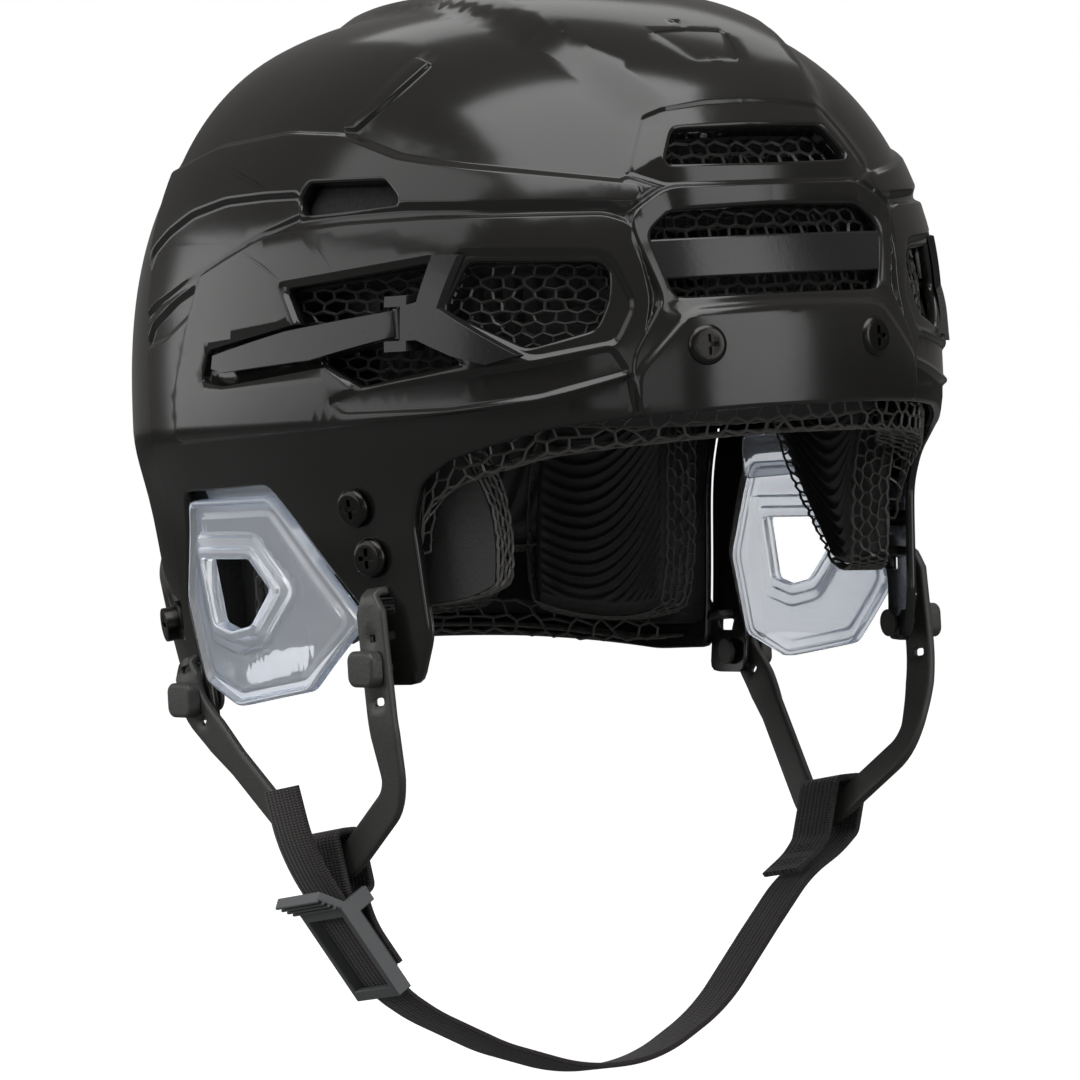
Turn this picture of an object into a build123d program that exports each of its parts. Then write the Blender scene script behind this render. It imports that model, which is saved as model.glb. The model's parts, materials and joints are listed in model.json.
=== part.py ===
from build123d import *
import math
import os

os.makedirs("parts", exist_ok=True)

# Ice hockey helmet, millimetres. The wearer faces -Y, the wearer's right is -X, up is +Z.
# The origin is the middle of the crown pad's underside, where the top of the head rests.

# Shell form
HALF_WIDTH = 104.0
FRONT_REACH = 148.0
REAR_REACH = 128.5
CROWN_RISE = 119.5
SKIRT_DEPTH = 80.0
CENTRE_Y = 4.8
CROWN_LEAN = 4.2
PLAN_POWER = 2.36
PROFILE_POWER = 2.6
SIDE_TUCK_SHARE = 0.05
SIDE_TUCK_DEPTH = 18.0
SIDE_TAPER_SHARE = 0.026
REAR_TAPER_SHARE = 0.23

# Walls and gaps
FRONT_WALL = 3.0
REAR_WALL = 2.8
SKIN_GAP = 0.4
PANEL_RISE = 1.5
LINER_THICKNESS = 14.0
CROWN_PAD_THICKNESS = 9.4
FRONT_PAD_THICKNESS = 12.0
SIDE_PAD_THICKNESS = 9.0
REAR_PAD_THICKNESS = 11.0
TEMPLE_PAD_THICKNESS = 12.0
OCCIPITAL_PAD_THICKNESS = 12.0
PAD_CROWN = 2.4
PAD_CHANNEL_WIDTH = 4.0
PAD_CHANNEL_DEPTH = 3.0
PAD_CORNER = 7.0
PAD_DRAW_ANGLE = 9.0
PAD_BALL_RADIUS = 160.0

# Split between the front and the rear shell, and the size adjustment
SEAM_SETBACK = 35.2
TONGUE_LENGTH = 16.0
TONGUE_SKIRT = 10.0
LINER_SETBACK = 17.2

# Lock tab, its bracket, hinge pin and the toothed rack that it locks
TAB_PIN_RADIUS = 1.2
TAB_PIN_GAP = 0.05
TAB_BARREL_RADIUS = 2.3
TAB_THICKNESS = 1.9
TAB_LIFT = 0.5
TAB_PIN_INSET = 0.6
TAB_EAR_HEIGHT = 3.0
TAB_EAR_MARGIN = 2.6
TAB_FOOT_LENGTH = 10.0
TAB_FOOT_HEIGHT = 3.6
TAB_FOOT_MARGIN = 3.0
RACK_THICKNESS = 2.0
RACK_HEIGHT = 6.0
RACK_FRONT_REACH = 69.0
RACK_INSET = 9.0
RACK_TOOTH_PITCH = 3.0
RACK_TOOTH_DEPTH = 0.8
RACK_TOOTH_COUNT = 10

# Front plate in the brow window
PLATE_THICKNESS = 2.0
PLATE_RECESS = 0.5

# Ear guard
GUARD_THICKNESS = 2.4
GUARD_RECESS = 0.6
GUARD_FLANGE_THICKNESS = 2.0
GUARD_RIM_WIDTH = 3.0
GUARD_RIM_RISE = 1.2

# Screws and T-nuts
SCREW_HEAD_RADIUS = 5.6
SCREW_HEAD_HEIGHT = 2.6
SCREW_DRIVE_WIDTH = 1.3
SCREW_DRIVE_LENGTH = 5.6
SCREW_DRIVE_DEPTH = 1.3
SCREW_SHANK_RADIUS = 2.5
SCREW_HOLE_GAP = 0.2
SCREW_SEAT_GAP = 0.15
SIDE_SCREW_LIFT = 0.12
T_NUT_RADIUS = 7.0
T_NUT_FLANGE = 1.4
T_NUT_BARREL_RADIUS = 3.6
T_NUT_BARREL_LENGTH = 3.0
T_NUT_POCKET_GAP = 1.0
REAR_HEAD_RADIUS = 5.0
REAR_HEAD_HEIGHT = 4.0
REAR_WASHER_RADIUS = 6.5
REAR_WASHER_THICKNESS = 1.0

# Ear loops: a flat moulded strap bent to a V on each side
LOOP_WIDTH = 10.0
LOOP_THICKNESS = 2.4
LOOP_BEND_RADIUS = 22.0
LOOP_CORNER_RADIUS = 12.0
LOOP_REAR_RADIUS = 14.0
LOOP_CENTRE_Y = -15.0
LOOP_TOE_IN = 3.3
LOOP_DROP = 79.5
LOOP_HANG_RADIUS = 60.0
SLOT_GAP = 0.8
LOOP_HEAD_WIDTH = 7.0
LOOP_HEAD_HEIGHT = 2.0
LOOP_HEAD_PLATE = 1.8
LOOP_HEAD_LENGTH = 8.0
LOOP_HEAD_GAP = 1.2
BUTTON_WIDTH = 12.5
BUTTON_HEIGHT = 10.0
BUTTON_THICKNESS = 4.0
BUTTON_STEM_RADIUS = 2.0
BUTTON_STEM_GAP = 0.05
BUTTON_RIVET_RADIUS = 4.0
BUTTON_RIVET_HEIGHT = 1.4
BUTTON_RIVET_GAP = 1.2
BUTTON_CORNER = 3.0
BUTTON_ROUND = 1.2

# Chin strap and its buckle
STRAP_DROP = 91.0
STRAP_WIDTH = 19.0
STRAP_THICKNESS = 1.6
STRAP_TILT = 8.0
STRAP_BEND_RADIUS = 60.0
WRAP_TOP = 12.9
WRAP_SIDE_RIGHT = 4.0
WRAP_SIDE_LEFT = 5.2
WRAP_BEND_RADIUS = 2.4
WRAP_BOTTOM = 29.5
LAYER_GAP = 0.4
BUCKLE_RAIL_THICKNESS = 2.2
BUCKLE_BAR_THICKNESS = 2.6
BUCKLE_BAR_LENGTH = 3.4
BUCKLE_ROD_RADIUS = 1.2
BUCKLE_TAB_LENGTH = 9.0
BUCKLE_TAB_THICKNESS = 2.4
BUCKLE_TAB_ANGLE = 55.0
BUCKLE_RIB_HEIGHT = 0.9
BUCKLE_RIB_PITCH = 1.9
BUCKLE_RIB_COUNT = 4
BUCKLE_TOOTH_DEPTH = 0.6

# Halvings that find a height on a loop's line
BISECTIONS = 30

# Room that cutters get past what they cut
OVERRUN = 40.0

CROWN_STACK = FRONT_WALL + SKIN_GAP + LINER_THICKNESS + SKIN_GAP + CROWN_PAD_THICKNESS
BELT_Z = CROWN_STACK - CROWN_RISE
SEAM_Y = CENTRE_Y + SEAM_SETBACK
LINER_END_Y = CENTRE_Y + LINER_SETBACK

# Depths below the outer skin of the nested walls
REAR_OUTER_DEPTH = FRONT_WALL + SKIN_GAP
REAR_INNER_DEPTH = REAR_OUTER_DEPTH + REAR_WALL
FRONT_LINER_DEPTH = FRONT_WALL + SKIN_GAP
REAR_LINER_DEPTH = REAR_INNER_DEPTH + SKIN_GAP
FRONT_PAD_DEPTH = FRONT_LINER_DEPTH + LINER_THICKNESS + SKIN_GAP
REAR_PAD_DEPTH = REAR_LINER_DEPTH + LINER_THICKNESS + SKIN_GAP
FLANGE_DEPTH = FRONT_WALL + SKIN_GAP
T_NUT_SIDE_DEPTH = FLANGE_DEPTH + GUARD_FLANGE_THICKNESS + SKIN_GAP
TEMPLE_PAD_DEPTH = T_NUT_SIDE_DEPTH + T_NUT_FLANGE + T_NUT_BARREL_LENGTH + SKIN_GAP

# Heights of the sections that the nested walls are lofted through, as shares
CROWN_SHARES = (0.13, 0.26, 0.39, 0.52, 0.65, 0.77, 0.87, 0.94, 0.98, 0.9985)
SKIRT_SHARES = (1.20, 1.05, 0.90, 0.75, 0.60, 0.45, 0.30, 0.15, 0.0)
SECTION_POINTS = 24

# Side outlines: (share of the reach behind or ahead of the centre, share of the crown rise or skirt)
FRONT_SHELL_SHARES = (
    (0.16, -1.07), (0.16, -0.93), (0.22, -0.61), (0.155, -0.235), (-0.20, -0.215), (-0.445, -0.68),
    (-0.45, -0.92), (-0.545, -0.92), (-0.58, -0.75), (-0.57, -0.35), (-0.60, -0.235), (-0.675, -0.155),
    (-0.845, -0.065), (-1.10, 0.0),
)
REAR_SHELL_SHARES = ((0.43, -1.00), (0.70, -0.92), (1.10, -0.82))
FRONT_LINER_SHARES = ((-0.44, -0.10), (-0.80, 0.0), (-1.10, 0.05))
REAR_LINER_SHARES = ((0.43, -0.93), (0.70, -0.86), (1.10, -0.77))
WINDOW_A_SHARES = (
    (-0.727, 0.334), (-0.90, 0.317), (-0.915, 0.257), (-0.906, 0.175), (-0.815, 0.144), (-0.70, 0.225),
)
WINDOW_B_SHARES = ((-0.318, 0.313), (-0.663, 0.342), (-0.65, 0.29), (-0.36, 0.222))
WINDOW_C_SHARES = ((-0.416, 0.140), (-0.64, 0.165), (-0.724, 0.115), (-0.513, 0.079))
UPPER_SLOT_SHARES = ((-0.33, 0.555), (-0.535, 0.543), (-0.574, 0.488), (-0.343, 0.479))
CHEVRON_SHARES = (
    (-0.678, 0.366), (-0.724, 0.362), (-0.694, 0.245), (-0.824, 0.127), (-0.776, 0.110), (-0.721, 0.133),
    (-0.655, 0.175), (-0.632, 0.175), (-0.632, 0.255), (-0.655, 0.262),
)
TAB_SHARES = (
    (-0.605, 0.245), (-0.336, 0.215), (-0.09, 0.170), (-0.084, 0.138), (-0.123, 0.127), (-0.408, 0.144),
    (-0.605, 0.185),
)
GUARD_SHARES = (
    (0.135, -0.265), (-0.195, -0.255), (-0.43, -0.695), (-0.255, -0.94), (0.0, -1.0), (0.15, -0.915),
    (0.205, -0.61),
)
GUARD_HOLE_SHARES = (
    (0.088, -0.47), (-0.105, -0.47), (-0.173, -0.58), (-0.093, -0.705), (-0.012, -0.728), (0.056, -0.70),
)
GUARD_FLANGE_SHARES = (
    (0.15, -0.17), (-0.22, -0.15), (-0.49, -0.22), (-0.52, -0.52), (-0.475, -0.565), (-0.30, -0.565),
    (-0.17, -0.32), (0.12, -0.34),
)
TEMPLE_PAD_SHARES = ((-0.42, -0.20), (-0.67, -0.20), (-0.67, -0.62), (-0.42, -0.66))
SIDE_PAD_SHARES = ((0.10, 0.0), (0.10, 0.42), (-0.42, 0.42), (-0.42, -0.02))
CHANNEL_SHARES = (
    ((-0.05, 0.22), (0.30, 0.42), (0.70, 0.36), (1.05, 0.20)),
    ((-0.05, 0.58), (0.30, 0.76), (0.70, 0.72), (1.05, 0.54)),
)

# Front outlines: (share of the half width, share of the crown rise or skirt)
PLATE_SHARES = ((0.410, 0.372), (0.362, 0.28))
BROW_WINDOW_SHARES = ((0.298, 0.434), (0.423, 0.38), (0.351, 0.243))
TOP_VENT_SHARES = ((0.231, 0.613), (0.293, 0.538))
BROW_PANEL_SHARES = ((0.32, 0.21), (0.45, 0.065))
FRONT_PAD_SHARES = ((0.60, 0.24), (0.60, -0.08))
CROWN_PAD_SHARES = (0.34, 0.17)
REAR_PAD_SHARES = ((0.10, 0.50), (0.66, 0.50), (0.66, -0.56), (0.10, -0.56))
OCCIPITAL_SHARES = ((0.46, -0.60), (0.40, -0.79))
REAR_VENT_SHARES = (
    ((0.16, 0.80), (0.50, 0.74), (0.52, 0.68), (0.16, 0.72)),
    ((0.22, 0.50), (0.62, 0.44), (0.66, 0.34), (0.22, 0.38)),
    ((0.30, 0.10), (0.62, 0.06), (0.60, -0.06), (0.30, 0.0)),
)

# Places of fasteners, as shares
FRONT_SCREW_SHARES = (0.26, 0.128)
SIDE_SCREW_SHARES = ((-0.448, -0.30), (-0.472, -0.475))
REAR_SCREW_SHARES = (0.385, -0.72)
TAB_FOOT_SHARES = (-0.20, 0.165)
TAB_HINGE_SHARES = (-0.605, 0.215)
TAB_HINGE_HALF_HEIGHT = 4.2

# Ear loops: side centreline as (share of the reach, share of the loop's drop), then how far in each
# loop hangs, as (share of the half width, share of the loop's drop)
LOOP_TOP_SHARE = -0.63
LOOP_SHARES = ((0.22, 0.24), (0.205, 0.37), (-0.25, 1.0), (-0.512, 0.67), (-0.478, -0.012))
LOOP_HANG_RIGHT_SHARES = ((0.912, -0.30), (0.912, 0.42), (0.85, 1.20))
LOOP_HANG_LEFT_SHARES = ((0.912, -0.30), (0.912, 0.42), (0.69, 1.20))
LOOP_SLOT_SHARES = ((0.22, -0.885), (-0.478, -0.64))
BUTTON_SHARES = ((0.20, -0.985), (-0.482, -0.855))

# Chin strap, drawn across the helmet: (share of the half width, share of the strap's drop)
BUCKLE_SHARES = ((-0.899, 0.377), (-0.762, 0.646))
CHIN_SHARES = ((-0.66, 0.735), (-0.46, 0.86), (-0.21, 0.965), (0.02, 0.965), (0.26, 0.83), (0.46, 0.60))
FAR_SHARES = ((0.60, 0.445), (0.715, 0.38))
TAIL_SHARES = ((-0.955, 0.26), (-0.99, 0.15), (-1.01, -0.01))
FOLD_SHARES = ((0.64, 0.37), (0.56, 0.425))
SLEEVE_END_SHARE = 0.77
SLEEVE_BEND_SHARE = 0.40


def along(share):
    """Place along Y of a share of the front or the rear reach."""
    reach = FRONT_REACH if share < 0 else REAR_REACH
    return CENTRE_Y + share * reach


def level(share):
    """Height of a share of the crown rise, or of the skirt depth when negative."""
    span = SKIRT_DEPTH if share < 0 else CROWN_RISE
    return BELT_Z + share * span


def plan_shares(z, depth):
    """Shares of the half width, front reach and rear reach that a section at this height keeps."""
    if z >= BELT_Z:
        rise = min((z - BELT_Z) / (CROWN_RISE - depth), 1.0)
        share = (1.0 - rise**PROFILE_POWER) ** (1.0 / PROFILE_POWER)
        return share, share, share
    drop = BELT_Z - z
    tuck = SIDE_TUCK_SHARE * (1.0 - math.exp(-((drop / SIDE_TUCK_DEPTH) ** 2)))
    fall = (drop / SKIRT_DEPTH) ** 2
    side = 1.0 - tuck - SIDE_TAPER_SHARE * fall
    return side, side, 1.0 - REAR_TAPER_SHARE * fall


def side_x(y, z, depth):
    """Half width of the skin at this place along Y and height, at a depth below the outer skin."""
    side, front, rear = plan_shares(z, depth)
    lean = CROWN_LEAN * max(z - BELT_Z, 0.0) / CROWN_RISE
    offset = y - CENTRE_Y + lean
    reach = (FRONT_REACH - depth) * front if offset < 0 else (REAR_REACH - depth) * rear
    share = min(abs(offset) / reach, 1.0)
    return (HALF_WIDTH - depth) * side * (1.0 - share**PLAN_POWER) ** (1.0 / PLAN_POWER)


def front_y(x, z, depth):
    """Place along Y of the front of the skin at this half width and height."""
    side, front, rear = plan_shares(z, depth)
    lean = CROWN_LEAN * max(z - BELT_Z, 0.0) / CROWN_RISE
    share = min(abs(x) / ((HALF_WIDTH - depth) * side), 1.0)
    return CENTRE_Y - lean - (FRONT_REACH - depth) * front * (1.0 - share**PLAN_POWER) ** (1.0 / PLAN_POWER)


def section(z, depth):
    """Closed superellipse section of a wall's skin at one height."""
    side, front, rear = plan_shares(z, depth)
    lean = CROWN_LEAN * max(z - BELT_Z, 0.0) / CROWN_RISE
    points = []
    for step in range(SECTION_POINTS):
        angle = 2.0 * math.pi * step / SECTION_POINTS
        across = math.copysign(abs(math.cos(angle)) ** (2.0 / PLAN_POWER), math.cos(angle))
        ahead = math.copysign(abs(math.sin(angle)) ** (2.0 / PLAN_POWER), math.sin(angle))
        reach = (FRONT_REACH - depth) * front if ahead < 0 else (REAR_REACH - depth) * rear
        points.append((across * (HALF_WIDTH - depth) * side, CENTRE_Y - lean + ahead * reach, z))
    return Wire([Spline(*points, periodic=True)])


def dome(depth):
    """Solid under the skin at a depth below the outer skin, open downwards past the skirt."""
    heights = [BELT_Z - share * SKIRT_DEPTH for share in SKIRT_SHARES]
    heights += [BELT_Z + share * (CROWN_RISE - depth) for share in CROWN_SHARES]
    return Solid.make_loft([section(z, depth) for z in heights])


DOMES = {}
WALLS = {}


def wall(outer_depth, inner_depth):
    """Solid between two depths below the outer skin."""
    for depth in (outer_depth, inner_depth):
        if depth not in DOMES:
            DOMES[depth] = dome(depth)
    if (outer_depth, inner_depth) not in WALLS:
        WALLS[outer_depth, inner_depth] = DOMES[outer_depth] - DOMES[inner_depth]
    return WALLS[outer_depth, inner_depth]


def side_prism(outline, start, end):
    """Outline of (y, z) points carried along X from start to end."""
    plane = Plane(origin=(start, 0, 0), x_dir=(0, 1, 0), z_dir=(1, 0, 0))
    return extrude(plane * make_face(Polyline(*outline, close=True)), end - start)


def front_prism(outline, start, end):
    """Outline of (x, z) points carried along Y from start to end."""
    plane = Plane(origin=(0, start, 0), x_dir=(1, 0, 0), z_dir=(0, -1, 0))
    return extrude(plane * make_face(Polyline(*outline, close=True)), start - end)


def side_outline(shares):
    """Side outline in millimetres from its shares."""
    return [(along(y), level(z)) for y, z in shares]


def both_sides(right):
    """A piece made for the right side and its mirror image."""
    return right, mirror(right, about=Plane.YZ)


def half_box(y_low, y_high, z_low, z_high):
    """Block as wide as the helmet between two places along Y and two heights."""
    wide = 2.0 * (HALF_WIDTH + OVERRUN)
    centre = ((y_low + y_high) / 2.0, (z_low + z_high) / 2.0)
    return Pos(0, centre[0], centre[1]) * Box(wide, y_high - y_low, z_high - z_low)


def front_shell():
    """Front and crown shell with its windows, slots and screw holes."""
    far = HALF_WIDTH + OVERRUN
    outline = [(SEAM_Y, level(1.0) + OVERRUN), (SEAM_Y, level(FRONT_SHELL_SHARES[0][1]))]
    outline += side_outline(FRONT_SHELL_SHARES)
    outline += [(along(-1.1), level(1.0) + OVERRUN)]
    shell = wall(0.0, FRONT_WALL) & side_prism(outline, -far, far)
    shell += brow_panel()
    for shares in (WINDOW_A_SHARES, WINDOW_B_SHARES, WINDOW_C_SHARES, UPPER_SLOT_SHARES):
        shell -= side_prism(side_outline(shares), -far, far)
    for shares in (BROW_WINDOW_SHARES, TOP_VENT_SHARES):
        shell -= front_prism(mirrored_outline(shares), 0.0, -far - FRONT_REACH)
    for cut in hinge_pocket() + foot_slot() + leg_slots() + front_shell_holes():
        shell -= cut
    return shell


def mirrored_outline(shares):
    """Outline of (x, z) points that is the same on both sides of the middle."""
    right = [(-HALF_WIDTH * x, level(z)) for x, z in shares]
    return right + [(-x, z) for x, z in reversed(right)]


def brow_panel():
    """Raised panel over the brow that the two front screws stand on."""
    raised = wall(-PANEL_RISE, FRONT_WALL - SKIN_GAP)
    return raised & front_prism(mirrored_outline(BROW_PANEL_SHARES), 0.0, -FRONT_REACH - OVERRUN)


def tab_hinge_place():
    """Centre of the lock tab's hinge pin on the right side."""
    y, z = along(TAB_HINGE_SHARES[0]), level(TAB_HINGE_SHARES[1])
    return -side_x(y, z, TAB_PIN_INSET), y, z


def hinge_pocket():
    """Openings in both sides of the shell that the tab hinges sit in."""
    x, y, z = tab_hinge_place()
    room = TAB_BARREL_RADIUS + TAB_EAR_MARGIN
    half = TAB_HINGE_HALF_HEIGHT + TAB_EAR_HEIGHT + 2.0 * SKIN_GAP
    block = Pos(x, y, z) * Box(4.0 * room, 2.0 * room, 2.0 * half)
    return list(both_sides(block))


def foot_slot():
    """Openings that the tabs' feet reach through to the racks."""
    y, z = along(TAB_FOOT_SHARES[0]), level(TAB_FOOT_SHARES[1])
    length = TAB_FOOT_LENGTH + 2.0 * TAB_FOOT_MARGIN
    height = TAB_FOOT_HEIGHT + 2.0 * SKIN_GAP
    block = Pos(-HALF_WIDTH, y, z) * Box(2.0 * RACK_INSET, length, height)
    return list(both_sides(block))


def leg_slots():
    """Openings that the ear loops' hooked ends reach through."""
    blocks = []
    for share_y, share_z in LOOP_SLOT_SHARES:
        width = LOOP_HEAD_WIDTH + 2.0 * SLOT_GAP
        height = LOOP_HEAD_HEIGHT + 2.0 * SLOT_GAP
        place = Pos(-HALF_WIDTH, along(share_y), level(share_z))
        blocks += both_sides(place * Box(HALF_WIDTH, width, height))
    return blocks


def side_plane(share_y, share_z):
    """Plane on the right side's skin whose Z points out along the skin's normal."""
    y, z = along(share_y), level(share_z)
    step = SKIN_GAP
    slope_y = (side_x(y + step, z, 0.0) - side_x(y - step, z, 0.0)) / (2.0 * step)
    slope_z = (side_x(y, z + step, 0.0) - side_x(y, z - step, 0.0)) / (2.0 * step)
    return Plane(origin=(-side_x(y, z, 0.0), y, z), z_dir=(-1.0, -slope_y, -slope_z))


def front_plane(share_x, share_z):
    """Plane on the right half of the front skin whose Z points out along the skin's normal."""
    x, z = -HALF_WIDTH * share_x, level(share_z)
    step = SKIN_GAP
    slope_x = (front_y(x + step, z, 0.0) - front_y(x - step, z, 0.0)) / (2.0 * step)
    slope_z = (front_y(x, z + step, 0.0) - front_y(x, z - step, 0.0)) / (2.0 * step)
    return Plane(origin=(x, front_y(x, z, 0.0), z), z_dir=(slope_x, -1.0, slope_z))


def bar(plane, radius, low, high):
    """Round bar along a plane's normal between two heights above the plane."""
    return plane * Pos(0, 0, (low + high) / 2.0) * Cylinder(radius, high - low)


def screw_hole(plane):
    """Round hole through a wall along a plane's normal."""
    return bar(plane, SCREW_SHANK_RADIUS + SCREW_HOLE_GAP, -OVERRUN, OVERRUN)


def front_shell_holes():
    """Holes of the front shell for screws and buttons on both sides."""
    cuts = [screw_hole(front_plane(*FRONT_SCREW_SHARES))]
    cuts += [screw_hole(side_plane(*shares)) for shares in SIDE_SCREW_SHARES]
    stem_radius = BUTTON_STEM_RADIUS + SCREW_HOLE_GAP
    cuts += [bar(plane, stem_radius, -OVERRUN, OVERRUN) for plane in button_planes()]
    return cuts + [mirror(cut, about=Plane.YZ) for cut in cuts]


def rear_shell():
    """Rear shell, with the straight tongue that slides inside the front shell."""
    far = HALF_WIDTH + OVERRUN
    start = SEAM_Y + SKIN_GAP
    outline = [(start, level(1.0) + OVERRUN), (start, level(REAR_SHELL_SHARES[0][1]))]
    outline += side_outline(REAR_SHELL_SHARES)
    outline += [(along(1.1), level(1.0) + OVERRUN)]
    back = wall(REAR_OUTER_DEPTH, REAR_INNER_DEPTH) & side_prism(outline, -far, far)
    edge = back.faces().sort_by(Axis.Y)[0]
    tongue = extrude(edge, TONGUE_LENGTH + SKIN_GAP, dir=(0, -1, 0))
    tongue &= half_box(start - TONGUE_LENGTH - SKIN_GAP, start, BELT_Z - TONGUE_SKIRT, level(1.0) + OVERRUN)
    shell = back + tongue
    for shares in REAR_VENT_SHARES:
        right = front_prism([(-HALF_WIDTH * x, level(z)) for x, z in shares], OVERRUN, far + REAR_REACH)
        for cut in both_sides(right):
            shell -= cut
    hole = screw_hole(side_plane(*REAR_SCREW_SHARES))
    return shell - hole - mirror(hole, about=Plane.YZ)


def front_plate():
    """Bare plate set across the brow window."""
    outline = mirrored_outline(PLATE_SHARES)
    plate = wall(PLATE_RECESS, PLATE_RECESS + PLATE_THICKNESS)
    return plate & front_prism(outline, 0.0, -FRONT_REACH - OVERRUN)


def front_liner():
    """Energy liner of the front shell, notched for the racks and the front T-nuts."""
    far = HALF_WIDTH + OVERRUN
    outline = [(LINER_END_Y, level(1.0) + OVERRUN), (LINER_END_Y, level(FRONT_LINER_SHARES[0][1]))]
    outline += side_outline(FRONT_LINER_SHARES)
    outline += [(along(-1.1), level(1.0) + OVERRUN)]
    liner = wall(FRONT_LINER_DEPTH, FRONT_LINER_DEPTH + LINER_THICKNESS) & side_prism(outline, -far, far)
    for cut in rack_channels() + t_nut_pockets([front_plane(*FRONT_SCREW_SHARES)], FRONT_LINER_DEPTH):
        liner -= cut
    return liner


def rear_liner():
    """Energy liner of the rear shell, notched for the rear T-nuts."""
    far = HALF_WIDTH + OVERRUN
    start = SEAM_Y + SKIN_GAP
    outline = [(start, level(1.0) + OVERRUN), (start, level(REAR_LINER_SHARES[0][1]))]
    outline += side_outline(REAR_LINER_SHARES)
    outline += [(along(1.1), level(1.0) + OVERRUN)]
    liner = wall(REAR_LINER_DEPTH, REAR_LINER_DEPTH + LINER_THICKNESS) & side_prism(outline, -far, far)
    for cut in t_nut_pockets([side_plane(*REAR_SCREW_SHARES)], REAR_LINER_DEPTH):
        liner -= cut
    return liner


def t_nut_pockets(planes, depth):
    """Round pockets around T-nuts on both sides, sunk into a piece from a depth."""
    deep = depth + T_NUT_FLANGE + T_NUT_BARREL_LENGTH + T_NUT_POCKET_GAP
    cuts = [bar(plane, T_NUT_RADIUS + T_NUT_POCKET_GAP, -deep, OVERRUN) for plane in planes]
    return cuts + [mirror(cut, about=Plane.YZ) for cut in cuts]


def rack_place():
    """Outer face of the right rack, its front end, rear end and middle height."""
    outer = side_x(SEAM_Y, level(TAB_FOOT_SHARES[1]), REAR_INNER_DEPTH) - SKIN_GAP
    return outer, SEAM_Y - TONGUE_LENGTH - RACK_FRONT_REACH, SEAM_Y, level(TAB_FOOT_SHARES[1])


def rack_channels():
    """Channels in the liner that the racks slide in."""
    outer, front, rear, z = rack_place()
    gap = 2.0 * SKIN_GAP
    deep = outer - RACK_THICKNESS - gap
    length = rear - front + 2.0 * gap
    block = Box(HALF_WIDTH, length, RACK_HEIGHT + 2.0 * gap)
    return list(both_sides(Pos(-deep - HALF_WIDTH / 2.0, (front + rear) / 2.0, z) * block))


def size_rack():
    """Toothed strip on the right of the rear shell's tongue."""
    outer, front, rear, z = rack_place()
    strip = Box(RACK_THICKNESS, rear - front, RACK_HEIGHT)
    strip = Pos(-outer + RACK_THICKNESS / 2.0, (front + rear) / 2.0, z) * strip
    for tooth in range(RACK_TOOTH_COUNT):
        y = front + (tooth + 1.0) * RACK_TOOTH_PITCH
        points = [(-outer - SKIN_GAP, y - RACK_TOOTH_DEPTH), (-outer - SKIN_GAP, y + RACK_TOOTH_DEPTH)]
        points += [(-outer + RACK_TOOTH_DEPTH, y)]
        notch = extrude(Pos(0, 0, z) * make_face(Polyline(*points, close=True)), RACK_HEIGHT, both=True)
        strip -= notch
    return strip


def tab_plate(shares):
    """Plate lifted just off the right side's skin, with a side outline."""
    lifted = wall(-TAB_LIFT - TAB_THICKNESS, -TAB_LIFT)
    return lifted & side_prism(side_outline(shares), -2.0 * HALF_WIDTH, 0.0)


def tab_bracket():
    """Chevron plate in front of the lock tab, with the two ears that hold the pin."""
    x, y, z = tab_hinge_place()
    half = TAB_HINGE_HALF_HEIGHT + SKIN_GAP
    top = half + TAB_EAR_HEIGHT
    reach = TAB_BARREL_RADIUS + TAB_EAR_MARGIN - SKIN_GAP
    wide = 2.0 * HALF_WIDTH
    thick = wall(-TAB_LIFT - TAB_THICKNESS, FRONT_WALL)
    thick &= Pos(-HALF_WIDTH, 0, 0) * Box(wide, 2.0 * wide, 2.0 * wide)
    ears = thick & half_box(y - reach, y + TAB_BARREL_RADIUS, z - top, z + top)
    ears -= half_box(y - reach - TAB_EAR_MARGIN, y + 2.0 * reach, z - half, z + half)
    neck = thick & half_box(y - reach, y - TAB_BARREL_RADIUS - SKIN_GAP, z - top, z + top)
    bracket = tab_plate(CHEVRON_SHARES) + ears + neck
    barrel_room = Pos(x, y, z) * Cylinder(TAB_BARREL_RADIUS + SKIN_GAP, 2.0 * half)
    pin_hole = Pos(x, y, z) * Cylinder(TAB_PIN_RADIUS, 4.0 * top)
    return bracket - barrel_room - pin_hole


def lock_tab():
    """Swinging bar on the right side with its barrel and the foot that locks the rack."""
    x, y, z = tab_hinge_place()
    barrel = Pos(x, y, z) * Cylinder(TAB_BARREL_RADIUS, 2.0 * TAB_HINGE_HALF_HEIGHT)
    foot_y, foot_z = along(TAB_FOOT_SHARES[0]), level(TAB_FOOT_SHARES[1])
    outer = rack_place()[0] + SKIN_GAP
    skin = side_x(foot_y, foot_z, -TAB_LIFT)
    foot = Box(skin - outer + 2.0 * TAB_LIFT, TAB_FOOT_LENGTH, TAB_FOOT_HEIGHT)
    foot = Pos(-(outer + skin) / 2.0 - TAB_LIFT, foot_y, foot_z) * foot
    pin_hole = Pos(x, y, z) * Cylinder(TAB_PIN_RADIUS + TAB_PIN_GAP, 4.0 * TAB_HINGE_HALF_HEIGHT)
    return tab_plate(TAB_SHARES) + barrel + foot - pin_hole


def tab_pin():
    """Hinge pin of the right lock tab."""
    x, y, z = tab_hinge_place()
    length = 2.0 * (TAB_HINGE_HALF_HEIGHT + TAB_EAR_HEIGHT + SKIN_GAP)
    return Pos(x, y, z) * Cylinder(TAB_PIN_RADIUS, length)


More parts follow.
